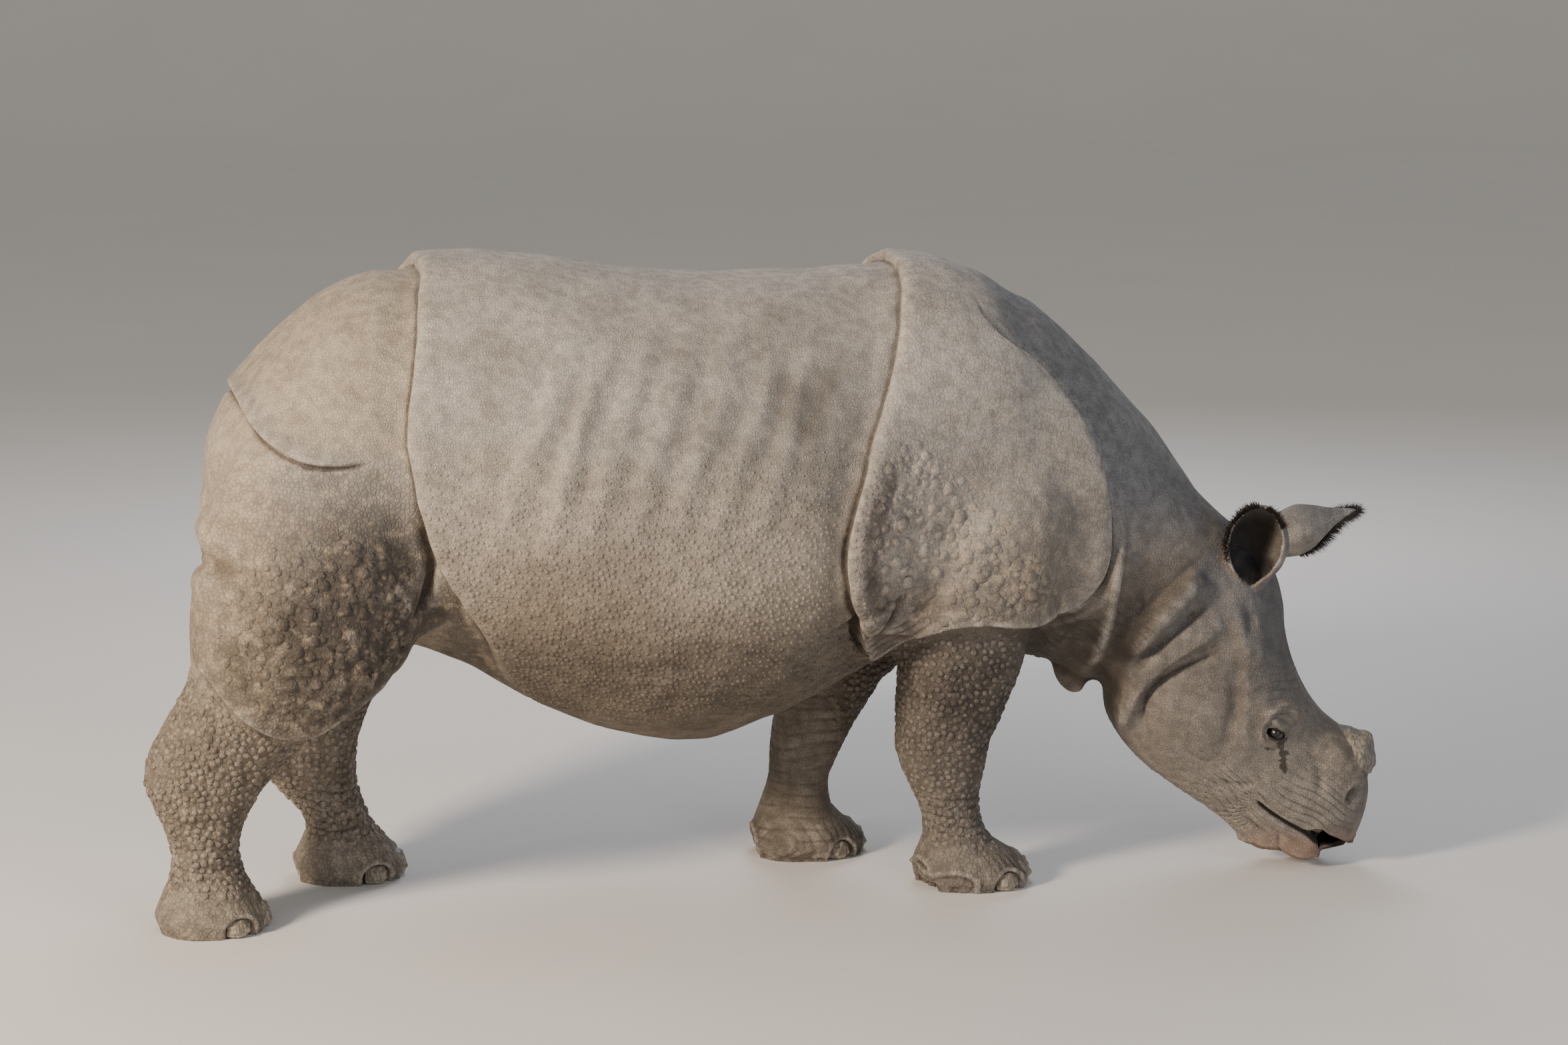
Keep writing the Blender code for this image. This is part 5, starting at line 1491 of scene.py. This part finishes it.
class RHINO_OT_horn(bpy.types.Operator):
    """Model the low worn horn stump"""

    bl_idname = "rhino.horn"
    bl_label = "Horn"

    def execute(self, context):
        horn, places, normals = smooth_copy("horn", HORN_CELL, 12)
        straight = straightened(places)
        x, y, z = straight.T
        ways = unturned_ways(normals, x)
        middle = (straight.min(0) + straight.max(0)) / 2
        upward = (straight - middle) @ np.array((math.sin(HORN_LEAN), 0, math.cos(HORN_LEAN)))
        grooves = np.abs(clouds(straight * (1, 1, 0.25), 0.008, 61))
        lumps = clouds(straight, 0.030, 62)
        rings = np.cos(upward * 2 * math.pi / 0.021)
        height = 0.0022 * lumps - 0.0022 * grooves + 0.0009 * rings
        side = soft((np.abs(ways[:, 1]) - 0.35) / 0.4) * band(x, 1.96, 2.02, 0.03) * soft((z - 0.25) / 0.03)
        height += 0.0035 * side * (np.abs(clouds(straight * (1, 1, 0.3), 0.006, 63)) - 0.3)
        height += 0.026 * oval(x, z, HORN_NUB, (0.022, 0.022)) * bell(y, 0.026)
        write_places(horn.data, places + normals * height[:, None])
        nub = oval(x, z, (HORN_NUB[0], HORN_NUB[1] - 0.005), (0.020, 0.016))
        store(horn.data, "frayed", np.clip(side + nub, 0, 1))
        store(horn.data, "foot", soft((0.27 - z) / 0.04))
        finish_piece(horn, "horn_stump", horn_material(), ["horn"])
        return {"FINISHED"}


class RHINO_OT_nails(bpy.types.Operator):
    """Model the ribbed toenails"""

    bl_idname = "rhino.nails"
    bl_label = "Nails"

    def execute(self, context):
        material = nail_material()
        for foot, label in itertools.product(FEET, NAIL_ANGLES):
            name = f"{foot}_nail_{label}"
            nail, places, normals = smooth_copy(name, NAIL_CELL, 8)
            low, high = places[:, 2].min(), places[:, 2].max()
            rise = (places[:, 2] - low) / (high - low)
            ribs = clouds(places * (1, 1, 0.15), 0.006, 71)
            growth = np.cos(rise * 2 * math.pi * 3.5 + 0.8 * clouds(places, 0.03, 72))
            chips = clouds(places, 0.012, 73) * soft((0.25 - rise) / 0.25)
            places += normals * (0.0009 * ribs + 0.0008 * growth + 0.0016 * chips)[:, None]
            places[:, 2] = np.maximum(places[:, 2], low)
            write_places(nail.data, places)
            store(nail.data, "rise", rise)
            finish_piece(nail, f"toenail_{foot}_{label}", material, [name])
        return {"FINISHED"}


def unwrap_piece(piece, patches):
    """Store an unwrap that a coat can be baked to, with a place for each corner of each face."""
    flat = piece.data.uv_layers.new(name="OFBake")
    flat.data.foreach_set("uv", patches.astype(np.float32).ravel())


def strands(name, roots, ways, lengths, sag, spots, girth):
    """Three-sided tapering hairs in one mesh, each with its patch of an unwrap at its root's spot."""
    steps = (0.0, 0.35, 0.7)
    corner = np.arange(3) * 2 * math.pi / 3
    places, faces, patches, tips = [], [], [], []
    for root, way, length, spot in zip(roots, ways, lengths, spots):
        first = len(places)
        side = np.cross(way, (0.3, 0.5, 0.81))
        side /= np.linalg.norm(side)
        other = np.cross(way, side)
        for t in steps:
            centre = root + way * length * t + np.array((0, 0, -sag * length * t * t))
            radius = girth * (1 - 0.75 * t)
            for j, angle in enumerate(corner):
                places.append(centre + (side * math.cos(angle) + other * math.sin(angle)) * radius)
                patches.append((spot[0] + 0.003 * j / 3, spot[1] + 0.003 * t))
                tips.append(t)
        places.append(root + way * length + np.array((0, 0, -sag * length)))
        patches.append((spot[0] + 0.0015, spot[1] + 0.003))
        tips.append(1.0)
        faces.append((first + 2, first + 1, first))
        last, peak = first + 3 * (len(steps) - 1), first + 3 * len(steps)
        for ring in range(first, last, 3):
            for j in range(3):
                a, b = ring + j, ring + (j + 1) % 3
                faces.append((a, b, b + 3, a + 3))
        faces += [(last + j, last + (j + 1) % 3, peak) for j in range(3)]
    piece = new_mesh(name, places, faces)
    corners = np.empty(len(piece.data.loops), np.int32)
    piece.data.loops.foreach_get("vertex_index", corners)
    unwrap_piece(piece, np.array(patches)[corners])
    store(piece.data, "tip", tips)
    return piece


def flank_weight(body):
    """Where the flank is pebbled: low on the barrel and on the plates' rims, from 0 to 1."""
    low = soft((1.22 - body.z) / 0.36) * soft((body.z - 0.46) / 0.1)
    rims = band(body.rear, 0.010, 0.036, 0.006) * soft((1.22 - body.z) / 0.2) * (body.hem > 0)
    rims = np.maximum(rims, band(body.hip, 0.010, 0.044, 0.006) * soft((1.10 - body.z) / 0.2))
    clear = soft((np.abs(body.hip) - 0.020) / 0.01) * soft((np.abs(body.rear) - 0.026) / 0.01)
    return np.maximum(low * body.barrel * clear, rims) * body.sideways


def strewn(hide, weigh, spacing, seed):
    """Points strewn evenly over the hide where the weight allows, with their normals and weights.
    The spacing is the least distance between two of them; where the weight is low, fewer are kept."""
    draw = np.random.default_rng(seed)
    mesh = hide.data
    mesh.calc_loop_triangles()
    corners = np.empty(len(mesh.loop_triangles) * 3, np.int32)
    mesh.loop_triangles.foreach_get("vertices", corners)
    corners = corners.reshape(-1, 3)
    places, normals = read_surface(mesh)
    at_vertex = weigh(Body(places, normals))
    corners = corners[at_vertex[corners].max(1) > 0.02]
    a, b, c = (places[corners[:, i]] for i in range(3))
    area = np.linalg.norm(np.cross(b - a, c - a), axis=1) / 2
    count = int(5 * area.sum() / spacing**2)
    chosen = draw.choice(len(corners), count, p=area / area.sum())
    u, v = draw.random(count), draw.random(count)
    u, v = np.where(u + v > 1, 1 - u, u), np.where(u + v > 1, 1 - v, v)
    shares = np.stack([1 - u - v, u, v], 1)[:, :, None]
    spots = (places[corners[chosen]] * shares).sum(1)
    ways = (normals[corners[chosen]] * shares).sum(1)
    ways /= np.linalg.norm(ways, axis=1)[:, None]
    weights = (at_vertex[corners[chosen]] * shares[:, :, 0]).sum(1)
    taken, kept = {}, []
    for i in np.flatnonzero(draw.random(count) < weights * 1.2):
        spot = spots[i]
        x, y, z = (spot // spacing).astype(int)
        near = itertools.product((x - 1, x, x + 1), (y - 1, y, y + 1), (z - 1, z, z + 1))
        if all(((spot - other) ** 2).sum() > spacing**2 for key in near for other in taken.get(key, ())):
            taken.setdefault((x, y, z), []).append(spot)
            kept.append(i)
    return spots[kept], ways[kept], weights[kept]


# Each ring of a scale: its share of the radius, and its share of the height or its depth below 0.
FLAT_SCALE = ((1.0, -0.0022), (0.80, 0.80))
SOFT_KNOB = ((1.15, -0.0035), (0.95, 0.10), (0.62, 0.62), (0.32, 0.93))


def scale_piece(name, spots, ways, radii, heights, unwrap, seed, profile=FLAT_SCALE, sides=6,
                top_highlight=0.40):
    """Low rounded scales in one mesh, each a closed dome sunk a little into the hide.
    The top highlight is how much a painted highlight lightens their tops."""
    draw = np.random.default_rng(seed)
    count = len(spots)
    side = np.cross(ways, (0.31, 0.52, 0.79))
    side /= np.linalg.norm(side, axis=1)[:, None]
    other = np.cross(ways, side)
    angles = 2 * math.pi * (np.arange(sides) / sides + draw.random((count, 1)))
    stretch = draw.uniform(0.86, 1.14, (count, sides))
    rings = []
    for reach, rise in profile:
        lift = np.where(rise < 0, rise, rise * heights)[:, None, None] * ways[:, None, :]
        ring = side[:, None, :] * np.cos(angles)[:, :, None] + other[:, None, :] * np.sin(angles)[:, :, None]
        rings.append(spots[:, None, :] + ring * (radii[:, None] * stretch * reach)[:, :, None] + lift)
    top = (spots + ways * heights[:, None])[:, None, :]
    bottom = (spots - ways * 0.0030)[:, None, :]
    places = np.concatenate([*rings, top, bottom], 1)
    each = places.shape[1]
    faces = []
    peak, base = len(rings) * sides, len(rings) * sides + 1
    for j in range(sides):
        k = (j + 1) % sides
        for first in range(0, peak - sides, sides):
            low, above = first + j, first + sides + k
            faces += [(low, first + k, above), (low, above, first + sides + j)]
        faces += [(peak - sides + j, peak - sides + k, peak), (k, j, base)]
    faces = (np.array(faces)[None] + (np.arange(count) * each)[:, None, None]).reshape(-1, 3)
    piece = new_mesh(name, places.reshape(-1, 3).tolist(), faces.tolist())
    roots, outward = (np.repeat(values, each, axis=0) for values in (spots, ways))
    for label, values in hide_marks(Body(roots, outward), roots).items():
        store(piece.data, label, np.clip(values, 0, 1))
    rise = [share for _, share in profile for _ in range(sides)]
    rise = np.tile(np.maximum([*rise, 1.0, 0.0], 0), count)
    # Painted shade round the foot of each scale, and a painted highlight on its top
    store(piece.data, "hollow", 0.40 * (rise < 0.05))
    store(piece.data, "ridge", top_highlight * rise**2)
    offsets = np.zeros((each, 2))
    turn = 2 * math.pi * np.arange(sides) / sides
    for i, (reach, _) in enumerate(profile):
        offsets[i * sides:(i + 1) * sides] = 0.0015 * reach * np.stack([np.cos(turn), np.sin(turn)], 1)
    patches = np.repeat(unwrap(Body(spots, ways)), each, axis=0) + np.tile(offsets, (count, 1))
    unwrap_piece(piece, patches[faces.ravel()])
    return piece


class Stud(typing.NamedTuple):
    """One sort of knob or scale on the plates and the flanks."""

    spacing: str        # the setting that spaces it
    gap: float          # least gap, in spacings
    radius: tuple       # in spacings, and how much luck adds
    height: tuple       # in metres, and how much luck adds
    profile: tuple      # its rings
    sides: int
    least: float        # no stud where the weight is below this
    seed: int


STUDS = {
    "knobs": Stud("knob", 1.0, (0.38, 0.24), (0.0035, 0.0085), SOFT_KNOB, 8, 0.22, 350),
    "small_knobs": Stud("knob", 0.60, (0.22, 0.14), (0.0015, 0.0040), SOFT_KNOB, 8, 0.22, 410),
    "flank_scales": Stud("pebble", 0.9, (0.378, 0.108), (0.0012, 0.0018), FLAT_SCALE, 6, 0.04, 420),
}


def stud_weight(label, body):
    """Where the knobs and scales of one sort grow, from 0 to 1."""
    if label == "flank_scales":
        return flank_weight(body)
    regions = knob_regions(body)
    plates = np.maximum(regions["shoulder"], regions["thigh"])
    if label == "knobs":
        return plates
    upper = body.leg * band(body.z, 0.36, 0.62, 0.08) * regions["leg"]
    spread_out = 0.10 * body.plate * soft((np.minimum(body.rear, body.front) - 0.03) / 0.02)
    return np.maximum(np.maximum(plates, upper), spread_out * soft((body.hem - 0.01) / 0.02))


class RHINO_OT_scales(bpy.types.Operator):
    """Stud the plates with knobs, and the legs and the flanks with pebbled scales"""

    bl_idname = "rhino.scales"
    bl_label = "Scales"

    def execute(self, context):
        sizes = settings("rhino_scales")
        hide = bpy.data.objects["hide"]
        for seed, side in enumerate(SIDES):
            for label in STUDS:
                self.stud_side(hide, label, side, seed)
        for seed, foot in enumerate(FEET):
            self.scale_leg(hide, foot, sizes.pebble * 1.1, seed)
        return {"FINISHED"}

    @staticmethod
    def stud_side(hide, label, side, seed):
        """The knobs or scales of one sort on one side."""
        stud = STUDS[label]
        sign = -1 if side == "right" else 1
        spacing = getattr(settings("rhino_scales"), stud.spacing)

        def weigh(body):
            return stud_weight(label, body) * (body.y * sign > 0)

        def unwrap(body):
            return np.stack([(body.x + 1.3) / 2.8, 0.05 + body.z / 1.8], 1)

        spots, ways, weights = strewn(hide, weigh, spacing * stud.gap, stud.seed + seed)
        clear = weights > stud.least
        spots, ways, weights = spots[clear], ways[clear], np.minimum(weights[clear], 1)
        luck = np.random.default_rng(stud.seed + 100 + seed).random(len(spots))
        radii = spacing * (stud.radius[0] + stud.radius[1] * luck) * (0.75 + 0.25 * weights)
        heights = (stud.height[0] + stud.height[1] * luck) * (0.25 + 0.75 * weights)
        name = f"{label}_{side}"
        # The last value is the painted highlight on the studs' tops
        piece = scale_piece(name, spots, ways, radii, heights, unwrap, 330 + seed, stud.profile,
                            stud.sides, 0.14)
        finish_piece(piece, name, hide.data.materials[0], [])

    @staticmethod
    def scale_leg(hide, foot, spacing, seed):
        """The pebbled scales of one leg, flatter low on a foreleg."""
        middle = straightened(np.array([node_middle(foot)]))[0]
        fore = foot.startswith("fore")

        def weigh(body):
            here = (np.abs(body.x - middle[0]) < 0.45) & ((body.y > 0) == foot.endswith("left"))
            return knob_regions(body)["leg"] * here * ((body.foreleg if fore else body.hindleg) > 0.02)

        def unwrap(body):
            around = np.arctan2(body.y - middle[1], body.x - middle[0]) / (2 * math.pi) + 0.5
            return np.stack([0.05 + 0.9 * around, 0.05 + body.z], 1)

        spots, ways, weights = strewn(hide, weigh, spacing, 370 + seed)
        luck = np.random.default_rng(380 + seed).random(len(spots))
        flatter = 1 - 0.45 * fore * soft((0.50 - straightened(spots)[:, 2]) / 0.2)
        heights = (0.0022 + 0.0022 * luck) * (0.5 + 0.5 * weights) * flatter
        radii = spacing * (0.50 + 0.14 * luck)
        piece = scale_piece(f"scales_{foot}", spots, ways, radii, heights, unwrap, 390 + seed)
        finish_piece(piece, f"scales_{foot}", hide.data.materials[0], [])


class RHINO_OT_bristles(bpy.types.Operator):
    """Grow the bristles of the ears, the lashes and the tail tuft"""

    bl_idname = "rhino.bristles"
    bl_label = "Bristles"

    def execute(self, context):
        material = bristle_material()
        for seed, name in enumerate(EARS):
            finish_piece(self.ear_fringe(name, seed), name + "_bristles", material, [])
        finish_piece(self.tail_tuft(), "tail_bristles", material, ["tail_tuft"])
        for side in SIDES:
            finish_piece(self.lashes(side), f"lashes_{side}", material, [])
        return {"FINISHED"}

    @staticmethod
    def ear_fringe(name, seed):
        """Bristles on an ear's rims, most of them on the rear one, longer towards the tip."""
        shades = settings("rhino_bristles")
        draw = np.random.default_rng(500 + seed)
        along, opening, across = ear_axes(name)
        girth, point = EARS[name][4:]
        roots, ways, lengths, spots = [], [], [], []
        for _ in range(shades.ear_count):
            rear = draw.random() < 0.72
            t = draw.uniform(0.30, 0.985) if rear else draw.uniform(0.74, 0.985)
            radius = ear_radius(t, girth, point)
            angle = (-1 if rear else 1) * ear_half_angle(t) * draw.uniform(0.88, 1.0)
            inner = radius - draw.uniform(0.001, 0.8) * EAR_WALL * (1 - 0.35 * t)
            outward = across * math.sin(angle) - opening * math.cos(angle)
            way = outward * 0.55 + along * (0.5 + 0.6 * t) + opening * 0.25 + Vector(draw.normal(0, 0.28, 3))
            roots.append(ear_spot(name, t, radius, inner, angle))
            ways.append(np.array(turned_way(way.normalized())))
            thick = float(soft(np.array((t - 0.25) / 0.3)))
            lengths.append(shades.ear_length * draw.uniform(0.35, 1.1) * (0.5 + 0.5 * thick))
            spots.append((0.05 + 0.9 * (angle / math.pi + 1) / 2, 0.05 + 0.9 * t))
        return strands(name, np.array(roots), ways, lengths, 0.15, spots, 0.0008)

    @staticmethod
    def tail_tuft():
        """Bristles that hang from the tail's end and stay inside the solid they stand for."""
        shades = settings("rhino_bristles")
        draw = np.random.default_rng(510)
        low, high = (np.array(corner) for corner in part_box("tail_tuft"))
        middle, half = (low + high) / 2, (high - low) / 2
        roots, ways, lengths, spots = [], [], [], []
        for _ in range(shades.tail_count):
            angle = draw.uniform(0, 2 * math.pi)
            t = draw.random()
            out = np.array((math.cos(angle), math.sin(angle), 0.0))
            reach = np.minimum(half[:2].min() * 0.45, 0.018) * math.sqrt(draw.random())
            height = high[2] - (0.02 + 0.45 * t) * 2 * half[2]
            roots.append(np.array((middle[0], middle[1], height)) + out * reach)
            way = out * draw.uniform(0.05, 0.30) + np.array((0, 0, -1.0))
            ways.append(way / np.linalg.norm(way))
            room = height - low[2]
            lengths.append(min(shades.tail_length * draw.uniform(0.5, 1.0), room * draw.uniform(0.75, 1.0)))
            spots.append((0.05 + 0.9 * angle / (2 * math.pi), 0.05 + 0.9 * t))
        return strands("tail_bristles", roots, ways, lengths, 0.0, spots, 0.0009)

    @staticmethod
    def lashes(side):
        """A row of lashes along the upper lid's edge."""
        draw = np.random.default_rng(520)
        middle, along, up, out = (np.array(part) for part in eye_frame(side))
        radius = eye_radius() + LID_THICKNESS
        roots, ways, lengths, spots = [], [], [], []
        for share in np.linspace(-0.8, 0.8, 34):
            u = share * EYE_SLIT[0]
            v = -0.0015 + 0.10 * u + EYE_SLIT[1] * 0.86 * math.sqrt(1 - share**2)
            w = math.sqrt(max(radius**2 - u * u - v * v, 0)) - 0.001
            roots.append(middle + along * u + up * v + out * w)
            way = out * 0.8 + up * 0.05 + along * share * 0.5 + draw.normal(0, 0.10, 3)
            way -= np.array((0, 0, 0.35))
            ways.append(way / np.linalg.norm(way))
            lengths.append(0.013 * draw.uniform(0.6, 1.1))
            spots.append((0.5 + 0.4 * share, 0.5))
        return strands("lashes", roots, ways, lengths, -0.25, spots, 0.0005)


# Lights: place, what they are aimed at, size, power in watts, colour.
LIGHTS = {
    "key": ((-6.3, -4.0, 3.8), (-0.2, 0, 0.9), 1.6, 740, "#FFEBD4"),
    "fill": ((2.6, -6.5, 2.6), (0.6, 0, 0.8), 4.0, 105, "#E2ECFF"),
    "rim": ((1.5, 5.0, 4.5), (0, 0, 1.1), 3.0, 160, "#EEF1FF"),
}
CAMERA_PLACE = (-1.9818, -9.6016, 2.7)
CAMERA_RIGHT = Vector((0.97815, -0.20791, 0.0))
CAMERA_UP = Vector((0.03734, 0.17568, 0.98374))
CAMERA_LENS = 90.9
FLOOR_HALF_WIDTH = 40
FLOOR_NEAR = -150           # the floor runs from here to the foot of the backdrop
BACKDROP_FOOT = 20
BACKDROP_BEND = 8           # radius of the curve between the two
BACKDROP_TOP = 30


class RHINO_OT_studio(bpy.types.Operator):
    """Set up the floor, the soft lights and the camera"""

    bl_idname = "rhino.studio"
    bl_label = "Studio"

    def execute(self, context):
        floor = self.sweep()
        for name, light in LIGHTS.items():
            self.light(name, *light)
        world = bpy.data.worlds.new("pale studio")
        context.scene.world = world
        world.use_nodes = True
        background = world.node_tree.nodes["Background"]
        background.inputs["Color"].default_value = linear("#E3E2E0")
        background.inputs["Strength"].default_value = 0.42
        camera = bpy.data.cameras.new("camera")
        camera.lens, camera.sensor_width = CAMERA_LENS, 36.0
        camera.clip_end = 200
        holder = bpy.data.objects.new("camera", camera)
        turn = Matrix((CAMERA_RIGHT, CAMERA_UP, CAMERA_RIGHT.cross(CAMERA_UP))).transposed()
        holder.matrix_world = Matrix.Translation(CAMERA_PLACE) @ turn.to_4x4()
        context.scene.collection.objects.link(holder)
        context.scene.camera = holder
        return {"FINISHED"}

    @staticmethod
    def sweep():
        """A floor that curves up into a backdrop with no edge between them."""
        bend = [(BACKDROP_FOOT + BACKDROP_BEND * math.sin(a), BACKDROP_BEND - BACKDROP_BEND * math.cos(a))
                for a in np.linspace(0, math.pi / 2, 25)]
        profile = [(FLOOR_NEAR, 0.0), *bend, (BACKDROP_FOOT + BACKDROP_BEND, BACKDROP_TOP)]
        places = [(x, y, z) for y, z in profile for x in (-FLOOR_HALF_WIDTH, FLOOR_HALF_WIDTH)]
        faces = [(2 * i, 2 * i + 1, 2 * i + 3, 2 * i + 2) for i in range(len(profile) - 1)]
        floor = new_mesh("studio_floor", places, faces)
        floor.data.materials.append(floor_material())
        floor.data.shade_smooth()
        return floor

    @staticmethod
    def light(name, place, target, size, power, hex_colour):
        """A round soft lamp aimed at a target, out of the camera's sight."""
        lamp = bpy.data.lights.new(name, "AREA")
        lamp.shape, lamp.size, lamp.energy = "DISK", size, power
        lamp.color = linear(hex_colour)[:3]
        holder = bpy.data.objects.new(name, lamp)
        holder.visible_camera = False
        holder.location = place
        holder.rotation_euler = (Vector(target) - Vector(place)).to_track_quat("-Z", "Y").to_euler()
        bpy.context.scene.collection.objects.link(holder)


class RHINO_PT_panel(bpy.types.Panel):
    """The steps that dress the rhinoceros, and their settings"""

    bl_idname = "RHINO_PT_panel"
    bl_label = "Rhinoceros"
    bl_space_type = "VIEW_3D"
    bl_region_type = "UI"
    bl_category = "Rhinoceros"

    def draw(self, context):
        for group, operator in STEPS:
            box = self.layout.box()
            box.operator(operator.bl_idname)
            if group:
                for name in GROUPS[group].__annotations__:
                    box.prop(settings(group), name)


GROUPS = {
    "rhino_hide": RhinoHide, "rhino_eyes": RhinoEyes, "rhino_horn": RhinoHorn,
    "rhino_nails": RhinoNails, "rhino_scales": RhinoScales, "rhino_bristles": RhinoBristles,
}
STEPS = [
    ("rhino_hide", RHINO_OT_hide), ("rhino_eyes", RHINO_OT_eyes), ("rhino_horn", RHINO_OT_horn),
    ("rhino_nails", RHINO_OT_nails), ("rhino_scales", RHINO_OT_scales), ("rhino_bristles", RHINO_OT_bristles),
    (None, RHINO_OT_studio),
]
CLASSES = [*GROUPS.values(), *(operator for _, operator in STEPS), RHINO_PT_panel]


def register():
    """Make the settings, the steps and the panel known."""
    for kind in CLASSES:
        bpy.utils.register_class(kind)
    for name, group in GROUPS.items():
        setattr(bpy.types.Scene, name, PointerProperty(type=group))


def unregister():
    """Take them away again."""
    for name in GROUPS:
        delattr(bpy.types.Scene, name)
    for kind in reversed(CLASSES):
        bpy.utils.unregister_class(kind)


def main():
    """Dress the rhinoceros."""
    register()
    bpy.ops.rhino.hide()
    bpy.ops.rhino.eyes()
    bpy.ops.rhino.horn()
    bpy.ops.rhino.nails()
    bpy.ops.rhino.scales()
    bpy.ops.rhino.bristles()
    bpy.ops.rhino.studio()


if __name__ == "__main__":
    main()
